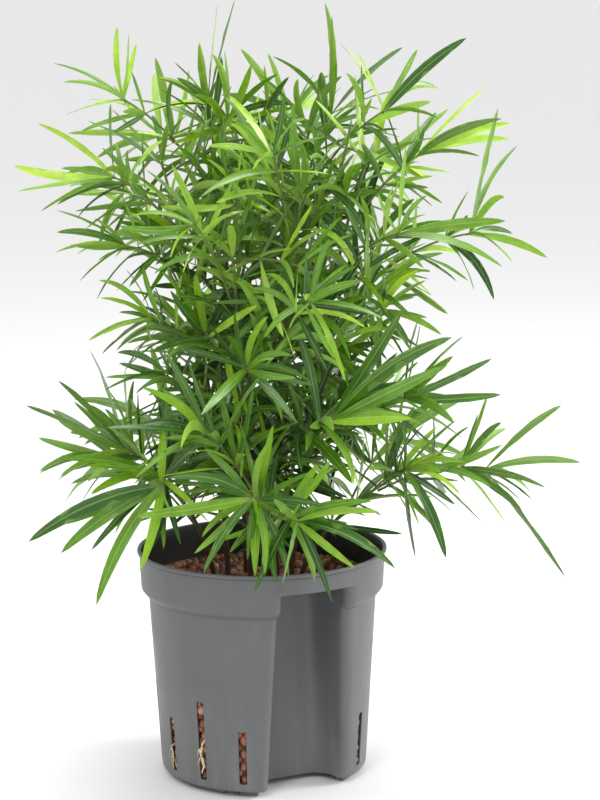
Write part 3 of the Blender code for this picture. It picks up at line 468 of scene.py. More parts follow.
def makePot(finish):
    outside, inside, bodyRows = potRows()
    rows = outside + inside
    points = np.stack([potOutline(radius, z, blend, inset) for z, radius, blend, inset in rows])
    rowCount, columns = points.shape[:2]
    heights = np.array([row[0] for row in rows])
    firstBody = 5
    outerRows = np.arange(firstBody, firstBody + len(bodyRows))
    innerRows = rowCount - 2 - np.arange(len(bodyRows))
    arcFirst = channelColumns + lipColumns + sideColumns
    open_ = np.zeros((rowCount - 1, columns), bool)
    extra = []
    for angle, height in slotList():
        half = pot["slotWidth"] / 2 / bodyRadius(0.04)
        left = arcFirst + int(np.argmin(np.abs(potArc - (angle - half))))
        right = left + 1
        low, high = pot["slotBottom"], pot["slotBottom"] + height
        inSlot = (bodyRows > low - 1e-6) & (bodyRows < high + 1e-6)
        for group in (outerRows, innerRows):  # narrow the edges at the slot's rounded ends
            chosen = group[inSlot]
            pinch = slotPinch(bodyRows[inSlot], low, high)
            middle = (points[chosen, left] + points[chosen, right]) / 2
            points[chosen, left] = middle + (points[chosen, left] - middle) * pinch[:, None]
            points[chosen, right] = middle + (points[chosen, right] - middle) * pinch[:, None]
        outer, inner = outerRows[inSlot], innerRows[inSlot]
        open_[outer[:-1], left] = True
        open_[inner[1:], left] = True
        o, i = outer * columns, inner * columns
        extra.append(np.stack([o[:-1] + left, o[1:] + left, i[1:] + left, i[:-1] + left], -1))
        extra.append(np.stack([o[1:] + right, o[:-1] + right, i[:-1] + right, i[1:] + right], -1))
        extra.append(np.array([[o[0] + right, o[0] + left, i[0] + left, i[0] + right],
                               [o[-1] + left, o[-1] + right, i[-1] + right, i[-1] + left]]))
    quads = gridFaces(rowCount, columns)
    quads = quads[~open_.ravel()]
    shapes = [points.reshape(-1, 3), [[0, 0.01, heights[0]], [0, 0.01, heights[-1]]]]
    fans = np.concatenate([fanFaces(0, columns, rowCount * columns, False),
                           fanFaces((rowCount - 1) * columns, columns, rowCount * columns + 1, True)])
    faceSets = [np.concatenate([quads] + extra), fans]
    quadsOfFeet = []
    first = rowCount * columns + 2
    for ring in footRings():
        count = len(ring)
        shapes.append(ring.reshape(-1, 3))
        quadsOfFeet.append(gridFaces(count, ring.shape[1], first=first))
        cap = np.arange(ring.shape[1])
        quadsOfFeet.append(np.stack([cap[::-1] + first, cap + first + (count - 1) * ring.shape[1]]))
        first += count * ring.shape[1]
    faceSets[0] = np.concatenate([faceSets[0]] + quadsOfFeet)
    shapes = np.concatenate(shapes)
    # inner marks the inside of the wall, which the plastic finish colours near-black as painted shade
    inner = np.zeros(len(shapes))
    inner[(len(outside) + 2) * columns:rowCount * columns] = 1
    inner[rowCount * columns + 1] = 1
    makePiece("growPot", shapes, faceSets, [finish], ["grow_pot"],
              attributes={"inner": inner}, sharpAngle=50)


def footRings():
    # short stretches of a ring under the base, each a row of four-cornered sections, and a centre foot
    height = pot["footHeight"] + 0.001
    outer, inner = pot["footRadius"], pot["footRadius"] - pot["footWidth"]
    first, arc, pitch, count = pot["longFeet"]
    arcs = [pot["shortFoot"]] + [(first + pitch * i, first + arc + pitch * i) for i in range(count)]
    arcs += [(360 - high, 360 - low) for low, high in arcs]
    made = []
    for low, high in arcs:
        a = np.radians(np.linspace(low, high, 2 + int((high - low) / 4)))
        way = np.stack([np.sin(a), -np.cos(a), np.zeros(len(a))], -1)
        up = np.array([0, 0, height])
        section = [way * outer, way * inner, way * inner + up, way * outer + up]
        made.append(np.stack(section, axis=1))
    a = np.linspace(0, 2 * math.pi, 4, endpoint=False) + math.pi / 4
    stack = []
    radius = pot["centreFootRadius"]
    for z in (height, 0.0):
        stack.append(np.stack([radius * np.cos(a), radius * np.sin(a), np.full(4, z)], -1))
    made.append(np.stack(stack))
    return made


pebbles = {
    "spacing": 0.0086,
    "smallest": 0.0036,
    "largest": 0.0053,
    "slotStep": 0.0058,
    "ringStep": 0.078,  # radians between the pebbles round the collar's inside
    "seed": 5,
}


def makeFiredClay():
    finish, made, shader = newMaterial("firedClay")
    place = placeOf(made)
    tint = attributeOf(made, "tint")
    grain = useGroup(made, mottle, Place=place, Coarse=260.0, Fine=1400.0, Clouds=0.9, Grain=0.7)
    # the darkest stop mostly colours the pebble core, as painted shade deep in the filling
    colour = made.ramp(tint, [(0.0, (0.055, 0.022, 0.014)), (0.35, (0.170, 0.060, 0.034)),
                              (0.7, (0.34, 0.135, 0.075)), (1.0, (0.50, 0.27, 0.17))])
    made.tree.links.new(scaleColour(made, colour, grain["Swing"]), shader.inputs["Base Color"])
    made.tree.links.new(made.remap(grain["Clouds"], 0.35, 0.65, 0.28, 0.62), shader.inputs["Roughness"])
    addBump(made, shader, grain["Height"], 0.5, 0.0006)
    return finish


def pebbleShape(steps=3):
    # a cube's faces split into steps by steps squares and pushed out onto the unit sphere
    side = np.linspace(-1, 1, steps + 1)
    a, b = np.meshgrid(side, side, indexing="ij")
    one = np.ones_like(a)
    sheets = ((a, b, one), (b, a, -one), (one, a, b), (-one, b, a), (b, one, a), (a, -one, b))
    points = np.concatenate([np.stack(sheet, -1).reshape(-1, 3) for sheet in sheets])
    faces = np.concatenate([gridFaces(steps + 1, steps + 1, closed=False, first=k * (steps + 1) ** 2)
                            for k in range(6)])
    _, keep, back = np.unique(np.round(points, 6), axis=0, return_index=True, return_inverse=True)
    points = points[keep]
    points = np.tan(points * math.pi / 4)
    return unit(points), back.reshape(-1)[faces]


def wallRadius(z):
    # the round part's outer radius at a height: body, slope or collar
    low = collarZ - pot["collarChamfer"]
    radii = [pot[key] for key in ("bodyBaseRadius", "bodyTopRadius", "collarLowRadius", "collarTopRadius")]
    return np.interp(z, [pot["footHeight"] + pot["baseCorner"], low, collarZ, potHeight], radii)


def insideOutline(xy, inset, z):
    # whether points lie inside the pot's wall, by counting the outline's edges to their right
    a = potOutline(wallRadius(z - 0.004), z, 0.0, inset)[:, :2]
    b = np.roll(a, -1, axis=0)
    crosses = (a[None, :, 1] > xy[:, None, 1]) != (b[None, :, 1] > xy[:, None, 1])
    rise = np.where(b[:, 1] == a[:, 1], 1, b[:, 1] - a[:, 1])
    share = (xy[:, None, 1] - a[None, :, 1]) / rise[None]
    right = xy[:, None, 0] < a[None, :, 0] + share * (b[None, :, 0] - a[None, :, 0])
    return (crosses & right).sum(axis=1) % 2 == 1


def pebblePlaces(feet):
    # two shaken layers of a triangular grid on top, and a shaken column behind each slot
    rng = np.random.default_rng(pebbles["seed"])
    step = pebbles["spacing"]
    centres, sizes = [], []
    for layer, drop in ((0, 0.0015), (1, 0.0062)):
        count = int(2 * rimRadius / step) + 2
        i, j = np.meshgrid(np.arange(-count, count), np.arange(-count, count), indexing="ij")
        x = (i + 0.5 * (j % 2) + 0.33 * layer) * step
        y = (j * math.sqrt(0.75) + 0.4 * layer) * step
        xy = np.stack([x.ravel(), y.ravel()], -1) + rng.uniform(-0.0017, 0.0017, (x.size, 2))
        radius = rng.uniform(pebbles["smallest"], pebbles["largest"], len(xy))
        keep = insideOutline(xy, pot["wall"] + pebbles["largest"], bedTop - drop)
        keep &= np.linalg.norm(xy[:, None] - feet[None, :, :2], axis=-1).min(axis=1) > radius + 0.0022
        z = bedTop - drop - rng.uniform(0, 0.0035, len(xy))
        centres.append(np.column_stack([xy, z])[keep])
        sizes.append(radius[keep])
    ring = np.arange(0, 2 * math.pi, pebbles["ringStep"])  # pebbles that lean on the collar's inside
    reach = pot["collarLowRadius"] - pot["wall"] - pebbles["largest"] * rng.uniform(0.95, 1.25, len(ring))
    xy = np.stack([np.sin(ring), -np.cos(ring)], -1) * reach[:, None]
    keep = insideOutline(xy, pot["wall"] + pebbles["largest"] * 0.92, bedTop + 0.004)
    z = bedTop - rng.uniform(0, 0.0012, len(ring))
    centres.append(np.column_stack([xy, z])[keep])
    sizes.append(rng.uniform(0.80, 0.98, len(ring))[keep] * pebbles["largest"])
    for angle, height in slotList():
        rows = int((height + 0.012) / pebbles["slotStep"])
        for row in range(rows):
            z = pot["slotBottom"] - 0.002 + row * pebbles["slotStep"] + rng.uniform(-0.001, 0.001)
            for shift in ((0.0,) if row % 2 else (-0.0056, 0.0052)):
                radius = rng.uniform(0.0040, 0.0048)
                off = shift + rng.uniform(-0.0012, 0.0012)
                out = bodyRadius(z) - pot["wall"] - radius * (0.72 if row % 2 else 1.0)
                way = np.array([math.sin(angle), -math.cos(angle)])
                across = np.array([math.cos(angle), math.sin(angle)])
                centres.append(np.array([[*(way * out + across * off), z]]))
                sizes.append(np.array([radius]))
    return np.concatenate(centres), np.concatenate(sizes)


def makePebbles(finish, feet):
    rng = np.random.default_rng(pebbles["seed"] + 1)
    centres, sizes = pebblePlaces(feet)
    shape, faces = pebbleShape()
    count = len(centres)
    stretch = rng.uniform(0.84, 1.12, (count, 1, 3))
    turn = unit(rng.normal(size=(count, 3, 3)))  # three loose directions, squared up below
    first = turn[:, 0]
    second = unit(turn[:, 1] - first * (turn[:, 1] * first).sum(-1, keepdims=True))
    third = np.cross(first, second)
    axes = np.stack([first, second, third], axis=1)
    lumps = 1 + 0.09 * np.sin(shape @ np.array([2.1, 3.3, 1.7]) + rng.uniform(0, 6.3, (count, 1)))
    points = (shape[None] * stretch * lumps[..., None]) @ axes * sizes[:, None, None] + centres[:, None]
    tint = np.clip(rng.normal(0.55, 0.22, count), 0, 1)
    core, coreFaces, coreCaps = pebbleCore()
    allPoints = np.concatenate([points.reshape(-1, 3), core])
    quads = (faces[None] + np.arange(count)[:, None, None] * len(shape)).reshape(-1, 4)
    start = count * len(shape)
    # the core's tint of 0 picks the clay's darkest colour: painted shade deep between the pebbles
    tints = np.concatenate([np.repeat(tint, len(shape)), np.zeros(len(core))])
    faceSets = [np.concatenate([quads, coreFaces + start]), coreCaps + start]
    makePiece("clayPebbles", allPoints, faceSets, [finish], ["clay_pebbles"],
              attributes={"tint": tints}, sharpAngle=60)
    return count


def pebbleCore():
    # the heart of the filling, coloured dark with painted shade: the pot's inside drawn in a little, up to
    # just under the top layer
    base = pot["footHeight"] + pot["floor"] + 0.0005
    levels = [(base, bodyRadius(base)), (collarZ - pot["collarChamfer"], pot["bodyTopRadius"] - 0.0005),
              (bedTop - 0.006, pot["bodyTopRadius"] + 0.001)]
    rings = np.stack([potOutline(radius - 0.0015, z, 0.0, pot["wall"] + 0.0012) for z, radius in levels])
    columns = rings.shape[1]
    count = len(levels) * columns
    points = np.concatenate([rings.reshape(-1, 3), [[0, 0.01, levels[0][0]], [0, 0.01, levels[-1][0]]]])
    fans = np.concatenate([fanFaces(0, columns, count, False),
                           fanFaces(count - columns, columns, count + 1, True)])
    return points, gridFaces(len(levels), columns), fans


growth = {
    "stemSides": 5,  # of each stem's solid in the frame
    "tipStation": 0.70,  # where a long leaf's outer section stands, as a share of its length
    "sideStation": 0.48,
    "caneWhorls": (0.26, 0.40, 0.53, 0.65, 0.77, 0.89, 1.0),
    "lowCaneWhorls": (0.52, 0.76, 1.0),
    "twigWhorls": (0.48, 0.77, 1.0),
    "shortestLeaf": 0.008,
    "caneRadii": (0.0024, 0.0012),
    "twigRadii": (0.0012, 0.0008),
}


def weldedMesh(node):
    # the node's points with equal ones made one, and its triangles
    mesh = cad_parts[node].data
    raw = np.empty(len(mesh.vertices) * 3, np.float32)
    mesh.vertices.foreach_get("co", raw)
    mesh.calc_loop_triangles()
    triangles = np.empty(len(mesh.loop_triangles) * 3, np.int32)
    mesh.loop_triangles.foreach_get("vertices", triangles)
    rounded = np.round(raw.reshape(-1, 3) * 1e5).astype(np.int64)
    whole, back = np.unique(rounded, axis=0, return_inverse=True)
    return whole / 1e5, back.reshape(-1)[triangles.reshape(-1, 3)]


def ringInside(edges, label):
    # (leaf, point) pairs one edge further in than the points that already carry a leaf's number
    steps = (label[edges[:, 0]] >= 0) & (label[edges[:, 1]] < 0)
    return np.unique(np.stack([label[edges[steps, 0]], edges[steps, 1]], -1), axis=0)


def stemCurve(points, whorls):
    # foot, bend and tip of the curve that a stem follows. Its rings are sorted along it, and the bend is
    # worked out so that the curve passes through one of the hubs
    axis = np.linalg.svd(points - points.mean(axis=0), full_matrices=False)[2][0]
    centres = points[np.argsort(points @ axis)].reshape(-1, growth["stemSides"], 3).mean(axis=1)
    if np.linalg.norm(centres[1] - centres[0]) < np.linalg.norm(centres[-1] - centres[-2]):
        centres = centres[::-1]
    foot, tip = centres[0], (centres[-1] + centres[-2]) / 2
    chosen = (len(whorls) - 2) // 2
    share = whorls[chosen]
    hub = (centres[2 + 2 * chosen] + centres[3 + 2 * chosen]) / 2
    bend = (hub - foot * (1 - share) ** 2 - tip * share**2) / (2 * share * (1 - share))
    return np.stack([foot, bend, tip])


def readStem(node):
    # a stem's curve and whorls, and each leaf's base, lean, bend and side
    points, triangles = weldedMesh(node)
    count = len(points)
    pairs = np.concatenate([triangles[:, [0, 1]], triangles[:, [1, 2]], triangles[:, [2, 0]]])
    edges = np.concatenate([pairs, pairs[:, ::-1]])
    span = np.linalg.norm(points[edges[:, 0]] - points[edges[:, 1]], axis=1)
    shortest = np.full(count, np.inf)
    np.minimum.at(shortest, edges[:, 0], span)
    valence = np.bincount(triangles.ravel(), minlength=count)
    tips = np.flatnonzero((valence == 3) & (shortest > growth["shortestLeaf"]))
    rank = np.full(count, -1)
    rank[tips] = np.arange(len(tips))
    round_ = pairs[rank[pairs[:, 0]] >= 0]  # each of a tip's three triangles gives one point of its ring
    ring = round_[np.argsort(rank[round_[:, 0]], kind="stable"), 1].reshape(-1, 3)
    label = rank.copy()
    label[ring] = np.arange(len(tips))[:, None]
    inside = ringInside(edges, label)
    long = np.bincount(inside[:, 0], minlength=len(tips)) == 3
    second = inside[long[inside[:, 0]]]
    label[second[:, 1]] = second[:, 0]
    bases = ringInside(edges, label)
    base = np.zeros((len(tips), 3))
    np.add.at(base, bases[:, 0], points[bases[:, 1]])
    base /= np.bincount(bases[:, 0], minlength=len(tips))[:, None]
    corners = points[ring]
    spans = np.linalg.norm(corners[:, [1, 2, 0]] - corners[:, [2, 0, 1]], axis=-1)
    keelAt = np.argmax(spans, axis=1)  # the corner across from the longest span lies under the blade
    row = np.arange(len(tips))
    keel, left, right = (corners[row, (keelAt + k) % 3] for k in range(3))
    middle = (left + right) / 2
    station = np.where(long, growth["tipStation"], growth["sideStation"])[:, None]
    run = points[tips] - base
    bend = ((middle - base) - station * run) / (station**2 - station)
    side = right - left
    turned = (np.cross(side, run) * (middle - keel)).sum(-1) < 0
    side[turned] *= -1
    whorls = growth["twigWhorls"]
    stemPoints = points[label < 0]
    if node.startswith("cane"):
        whorls = growth["caneWhorls"] if len(stemPoints) > 60 else growth["lowCaneWhorls"]
    radii = growth["caneRadii"] if node.startswith("cane") else growth["twigRadii"]
    leaves = {"base": base, "lean": run - bend, "bend": bend, "side": unit(side),
              "width": np.linalg.norm(side, axis=1) * leaf["widen"]}
    return {"node": node, "curves": [stemCurve(stemPoints, whorls)], "radii": [radii], "whorls": [whorls],
            "leaves": leaves}


foliage = {
    "hubLeaves": ((0.36, 4), (0.43, 2), (1.0, 1)),  # more leaves at each whorl, by the height it is under
    "outerReach": 0.115,  # whorls further out than this get one more leaf only
    "sprays": (  # place, reach, leaves more at each whorl
        ((0.120, -0.055, 0.315), 0.075, 5),
        ((0.035, -0.075, 0.255), 0.060, 3),
    ),
    "openings": (0.65, 1.35),  # radians between a stem and its leaves
    "droop": (0.02, 0.30),
    "swing": 0.09,
    "candidates": 7,
    "room": 0.0042,  # kept between the middle lines of two leaves
    "twigsPerCane": 9,
    "twigWhorls": (0.42, 0.72, 1.0),
    "twigLeaves": 4,
    "twigLeafLength": 0.070,
    "twigReach": (0.035, 0.075),
    "heartRadius": 0.105,  # the fill of twigs stays in this upright oval
    "heartLow": 0.255,
    "heartHigh": 0.585,
    "seed": 8,
}
checkShares = np.linspace(0.16, 1.0, 9)


def middleLines(base, lean, bend):
    s = checkShares[None, :, None]
    return base[:, None] + lean[:, None] * s + bend[:, None] * s**2


def curveAt(curve, share):
    # point and direction at each share along a curve with a foot, a bend and a tip
    foot, bend, tip = curve
    t = np.asarray(share, float)[..., None]
    place = (1 - t) ** 2 * foot + 2 * t * (1 - t) * bend + t**2 * tip
    way = unit((1 - t) * (bend - foot) + t * (tip - bend))
    return place, way


def outOfPot(points):
    # points outside the pot and a little clear of its rim
    inReach = np.hypot(points[..., 0], points[..., 1]) < rimRadius + 0.005
    return ~(inReach & (points[..., 2] < potHeight + 0.005))


def sproutLeaf(rng, place, way, angle, length, room, spare):
    # several leaves drawn at random round one angle of a hub; the one with most room is kept, if enough
    count = foliage["candidates"]
    level = unit(np.cross(way, [0.02, 0.03, 1.0]))
    other = np.cross(way, level)
    turn = angle + rng.normal(0, 0.35, (count, 1))
    radial = level * np.cos(turn) + other * np.sin(turn)
    opening = rng.uniform(*foliage["openings"], (count, 1))
    size = length * rng.uniform(0.74, 1.06, (count, 1))
    run = unit(way * np.cos(opening) + radial * np.sin(opening) + [0, 0, 0.12]) * size
    bend = rng.normal(0, foliage["swing"], (count, 3)) * size
    bend[:, 2] -= rng.uniform(*foliage["droop"], count) * size[:, 0]
    base = place + radial * 0.0006
    lines = middleLines(base, run - bend, bend)
    inside = (lines > spare[0]).all(axis=(1, 2)) & (lines < spare[1]).all(axis=(1, 2))
    inside &= outOfPot(lines).all(axis=1)
    if not inside.any():
        return None
    near = room[np.abs(room - place).max(axis=1) < length * 1.15]
    gaps = np.full(count, np.inf)
    if len(near):
        apart = np.linalg.norm(lines[:, :, None] - near[None, None], axis=-1)
        gaps = apart.min(axis=(1, 2))
    gaps[~inside] = 0
    best = int(np.argmax(gaps))
    if gaps[best] < foliage["room"]:
        return None
    flat = unit(np.cross(run[best], way))
    face = np.cross(flat, unit(run[best]))
    roll = rng.normal(0, 0.45)
    side = flat * math.cos(roll) + face * math.sin(roll)
    return base[best], (run - bend)[best], bend[best], side, lines[best]


def sproutWhorls(rng, stem, curve, shares, count, length, room, spare):
    # leaves all round a stem at each share, added to the stem's own
    made = []
    for share in shares:
        place, way = curveAt(curve, share)
        first = rng.uniform(0, 2 * math.pi)
        for number in range(count):
            angle = first + 2 * math.pi * number / count
            found = sproutLeaf(rng, place, way, angle, length, room, spare)
            if found:
                made.append(found)
                room = np.concatenate([room, found[4]])
    if made:
        leaves = stem["leaves"]
        width = np.array([np.linalg.norm(m[1] + m[2]) for m in made]) * leaf["widthShare"]
        width *= rng.uniform(0.82, 1.12, len(made))
        for key, k in (("base", 0), ("lean", 1), ("bend", 2), ("side", 3)):
            leaves[key] = np.concatenate([leaves[key], np.array([m[k] for m in made])])
        leaves["width"] = np.concatenate([leaves["width"], width])
    return room


def inHeart(points):
    # inside an upright oval round the pot's axis, where the foliage is thickest
    low, high = foliage["heartLow"], foliage["heartHigh"]
    rise = (points[..., 2] - (low + high) / 2) / ((high - low) / 2)
    reach = np.hypot(points[..., 0], points[..., 1]) / foliage["heartRadius"]
    return reach < np.sqrt(np.clip(1 - rise**2, 0, 1))


def fillStems(stems):
    rng = np.random.default_rng(foliage["seed"])
    low, high = np.array(cadBox)
    spare = (low + 0.002, high - 0.002)
    lines = [middleLines(*(stem["leaves"][key] for key in ("base", "lean", "bend"))) for stem in stems]
    room = np.concatenate([line.reshape(-1, 3) for line in lines])
    own = [np.linalg.norm(s["leaves"]["lean"] + s["leaves"]["bend"], axis=1).mean() for s in stems]
    for stem, length in zip(stems, own):
        for share in stem["whorls"][0]:
            place = curveAt(stem["curves"][0], share)[0]
            count = next(more for under, more in foliage["hubLeaves"] if place[2] < under)
            if math.hypot(place[0], place[1]) > foliage["outerReach"]:
                count = 1
            for middle, reach, more in foliage["sprays"]:
                if np.linalg.norm(place - middle) < reach:
                    count = max(count, more)
            room = sproutWhorls(rng, stem, stem["curves"][0], [share], count, length, room, spare)
    for stem, length in zip(stems, own):
        if not stem["node"].startswith("cane"):
            continue
        for share in np.linspace(0.2, 0.97, foliage["twigsPerCane"]):
            start = curveAt(stem["curves"][0], share + rng.uniform(-0.03, 0.03))[0]
            reach = rng.uniform(*foliage["twigReach"])
            turn = rng.uniform(0, 2 * math.pi, 12)
            run = np.stack([np.cos(turn), np.sin(turn), rng.uniform(-0.1, 0.9, 12)], -1)
            tips = start + unit(run) * reach
            tips = tips[inHeart(tips)]
            if not len(tips):
                continue
            clear = np.linalg.norm(tips[:, None] - room[None], axis=-1).min(axis=1)
            tip = tips[int(np.argmax(clear))]
            bend = (start + tip) / 2 + [0, 0, 0.14 * reach]
            curve = np.stack([start, bend, tip])
            stem["curves"].append(curve)
            stem["radii"].append((0.0011, 0.0007))
            stem["whorls"].append(foliage["twigWhorls"])
            room = sproutWhorls(rng, stem, curve, foliage["twigWhorls"], foliage["twigLeaves"],
                                foliage["twigLeafLength"], room, spare)
    return len(room) // len(checkShares)


leaf = {
    "stations": (0.0, 0.035, 0.10, 0.19, 0.30, 0.42, 0.54, 0.65, 0.76, 0.86, 0.94, 1.0),
    "fold": 0.16,  # depth of the fold along the midrib, as a share of half the width
    "thickness": 0.00040,
    "ripple": 0.05,  # waviness of the edges, as a share of the width
    "twist": 0.45,
    "bow": 0.045,  # how far a blade's middle swings sideways and up, as a share of its length
    "widthShare": 0.094,
    "widen": 1.16,  # of the frame's plain blades
    "tip": 0.95,
    "seed": 21,
}


def leafSurface(leaves, rng, fold=None, ripple=None, bow=None):
    # every leaf at once. The middle line is base + lean * s + bend * s squared, plus a swing times
    # 4 s (1 - s). Half the width follows the sine of pi times s to the power 0.62. The section is a
    # shallow fold: two raised edges, a top line and a keel
    s = np.array(leaf["stations"])
    base, lean, bend, side, width = (leaves[k] for k in ("base", "lean", "bend", "side", "width"))
    count, rings = len(base), len(s)
    middle = base[:, None] + lean[:, None] * s[None, :, None] + bend[:, None] * (s**2)[None, :, None]
    swing = (leaf["bow"] if bow is None else bow) * np.linalg.norm(lean + bend, axis=1)[:, None]
    swing = unit(side) * rng.normal(0, 1, (count, 1)) * swing + [0, 0, 0.6] * swing
    middle = middle + swing[:, None] * (4 * s * (1 - s))[None, :, None]
    along = unit(lean[:, None] + 2 * bend[:, None] * s[None, :, None]
                 + swing[:, None] * (4 - 8 * s)[None, :, None])
    across = unit(side[:, None] - along * (side[:, None] * along).sum(-1, keepdims=True))
    up = np.cross(across, along)
    twist = (rng.normal(0, leaf["twist"], (count, 1)) * (s - 0.3))[..., None]
    across, up = across * np.cos(twist) + up * np.sin(twist), up * np.cos(twist) - across * np.sin(twist)
    full = np.sin(np.pi * np.clip(0.03 + leaf["tip"] * s, 0, 1) ** 0.92) ** 0.62
    full = full * np.where(s == 1.0, 0.25, 1.0)
    half = 0.5 * width[:, None] * full * 1.03
    wave = rng.uniform(0, 2 * math.pi, (count, 1)) + s * rng.uniform(13, 22, (count, 1))
    ripple = (leaf["ripple"] if ripple is None else ripple) * width[:, None] * np.sin(np.pi * s)
    fold = (leaf["fold"] if fold is None else fold) * rng.uniform(0.3, 1.6, (count, 1)) * half
    rise = fold + ripple * np.sin(wave)
    other = fold + ripple * np.sin(wave * 1.13 + 1.9)
    thick = leaf["thickness"] * (0.35 + 0.65 * full)[None, :, None]
    left = middle - across * half[..., None] + up * rise[..., None]
    right = middle + across * half[..., None] + up * other[..., None]
    points = np.stack([left, middle - up * fold[..., None] + up * thick / 2, right,
                       middle - up * fold[..., None] - up * thick], axis=2)
    one = gridFaces(rings, 4)[:, ::-1]
    caps = np.array([[0, 1, 2, 3], [4 * (rings - 1) + k for k in (3, 2, 1, 0)]])
    one = np.concatenate([one, caps])
    faces = (one[None] + np.arange(count)[:, None, None] * 4 * rings).reshape(-1, 4)
    start, end = np.array([0.0, 0.5, 3.0, 2.5]), np.array([0.5, 1.0, 2.5, 2.0])
    r, c = np.divmod(np.arange(4 * (rings - 1)), 4)
    u = np.stack([start[c], end[c], end[c], start[c]], -1)[:, ::-1]
    v = np.stack([s[r], s[r], s[r + 1], s[r + 1]], -1)[:, ::-1]
    u = np.concatenate([u, np.full((2, 4), 0.5)])
    v = np.concatenate([v, [[0.0] * 4, [1.0] * 4]])
    cornerMap = np.tile(np.stack([u, v], -1).reshape(-1, 2), (count, 1))
    return points.reshape(-1, 3), faces, cornerMap


stalk = {
    "sides": 8,
    "swell": 0.0005,  # how much a stem thickens at a hub
    "swellLength": 0.0017,
    "scaleLength": 0.0042,
    "scaleWidth": 0.0016,
}


def stemSurface(curve, radii, hubs, steps):
    # a round profile carried along the curve. The radius tapers and swells by a bell curve at each hub,
    # and a slow sine keeps the stem from being quite straight
    sides = stalk["sides"]
    hubs = np.asarray(hubs)
    length = np.linalg.norm(curve[2] - curve[0])
    near = (hubs[:, None] + np.array([-1.6, -0.8, 0.0, 0.8, 1.6]) * stalk["swellLength"] / length).ravel()
    t = np.unique(np.clip(np.concatenate([np.linspace(0, 1, steps), near]), 0, 1).round(5))
    place, way = curveAt(curve, t)
    bulge = np.exp(-(((t[:, None] - hubs) * length / stalk["swellLength"]) ** 2)).sum(axis=1)
    radius = lerp(radii[0], radii[1], t) + stalk["swell"] * bulge
    level = unit(np.cross(way, np.array([0.13, 0.07, 1.0])))
    other = np.cross(way, level)
    place = place + level * (0.0005 * np.sin(t * 31.0) * np.sin(np.pi * t))[:, None]
    a = np.linspace(0, 2 * math.pi, sides, endpoint=False)
    ring = level[:, None] * np.cos(a)[None, :, None] + other[:, None] * np.sin(a)[None, :, None]
    points = place[:, None] + radius[:, None, None] * ring
    return points.reshape(-1, 3), gridFaces(len(t), sides), t


def scaleSpikes(curve, radii, hubs, rng):
    # a small pointed scale under each hub: a three-sided spike that leans out and up the stem
    place, way = curveAt(curve, np.asarray(hubs) - 0.012)
    level = unit(np.cross(way, np.array([0.13, 0.07, 1.0])))
    turn = rng.uniform(0, 2 * math.pi, (len(place), 1))
    out = level * np.cos(turn) + np.cross(way, level) * np.sin(turn)
    across = np.cross(way, out)
    radius = lerp(radii[0], radii[1], np.asarray(hubs))[:, None]
    foot = place + out * radius * 0.7
    half = stalk["scaleWidth"] / 2
    tip = place + out * (radius + stalk["scaleLength"] * 0.55) - way * stalk["scaleLength"] * 0.5
    points = np.stack([foot - across * half, foot + across * half, foot + way * half * 2.4, tip], axis=1)
    one = np.array([[0, 1, 3], [1, 2, 3], [2, 0, 3], [0, 2, 1]])
    faces = (one[None] + np.arange(len(place))[:, None, None] * 4).reshape(-1, 3)
    corners = points.reshape(-1, 3)[faces]
    volume = np.einsum("ij,ij->i", corners[:, 0] - np.repeat(place, 4, axis=0),
                       np.cross(corners[:, 1] - corners[:, 0], corners[:, 2] - corners[:, 0]))
    if volume.sum() < 0:
        faces = faces[:, ::-1]
    return points.reshape(-1, 3), faces


def makeStemPiece(stem, finishes, rng):
    leaves = stem["leaves"]
    points, quads, cornerMap = leafSurface(leaves, rng)
    perLeaf = 4 * len(leaf["stations"])
    ends = leaves["base"] + leaves["lean"] + leaves["bend"]
    # tint rises higher up and further out: partly the young leaves' own yellower green at the top, partly
    # painted light on the lit top and outside of the crown and painted shade on the low, inner leaves;
    # plus a random tone
    height = np.clip((ends[:, 2] - 0.20) / 0.46, 0, 1)
    outwardLitShare = np.clip(np.hypot(ends[:, 0], ends[:, 1]) / 0.20, 0, 1)
    tint = 0.15 + 0.34 * height + 0.20 * outwardLitShare + rng.normal(0, 0.20, len(ends))
    tints = [np.repeat(np.clip(tint, 0, 1), perLeaf)]
    ages = [np.ones(len(points))]
    allPoints, quadSets, triangles = [points], [quads], []
    first = len(points)
    isCane = stem["node"].startswith("cane")
    for curve, radii, whorls in zip(stem["curves"], stem["radii"], stem["whorls"]):
        steps = 30 if radii[0] > 0.002 else 12
        stemPoints, stemQuads, t = stemSurface(curve, radii, whorls, steps)
        sides = stalk["sides"]
        lid = np.array([[sides - 1 - k for k in range(sides)],
                        [(len(t) - 1) * sides + k for k in range(sides)]])
        lidQuads = np.concatenate([lid[:, :4], lid[:, [0, 3, 4, 7]], lid[:, 4:]])
        allPoints.append(stemPoints)
        quadSets.append(np.concatenate([stemQuads, lidQuads]) + first)
        ages.append(np.repeat(t if radii[0] > 0.002 else 0.55 + 0.45 * t, sides))
        tints.append(np.full(len(stemPoints), rng.uniform(0.2, 0.8)))
        first += len(stemPoints)
        spikes, spikeFaces = scaleSpikes(curve, radii, whorls, rng)
        allPoints.append(spikes)
        triangles.append(spikeFaces + first)
        ages.append(np.zeros(len(spikes)))
        tints.append(np.zeros(len(spikes)))
        first += len(spikes)
    quadSets = np.concatenate(quadSets)
    triangles = np.concatenate(triangles)
    finishIndex = np.ones(len(quadSets) + len(triangles), int)
    finishIndex[:len(quads)] = 0
    rest = np.zeros(((len(quadSets) - len(quads)) * 4 + len(triangles) * 3, 2))
    name = ("leafyCane" if isCane else "leafyShoot") + stem["node"][-2:]
    makePiece(name, np.concatenate(allPoints), [quadSets, triangles], finishes,
              [stem["node"]], finishIndex, np.concatenate([cornerMap, rest]),
              {"tint": np.concatenate(tints), "age": np.concatenate(ages)}, sharpAngle=55)
    return len(ends)


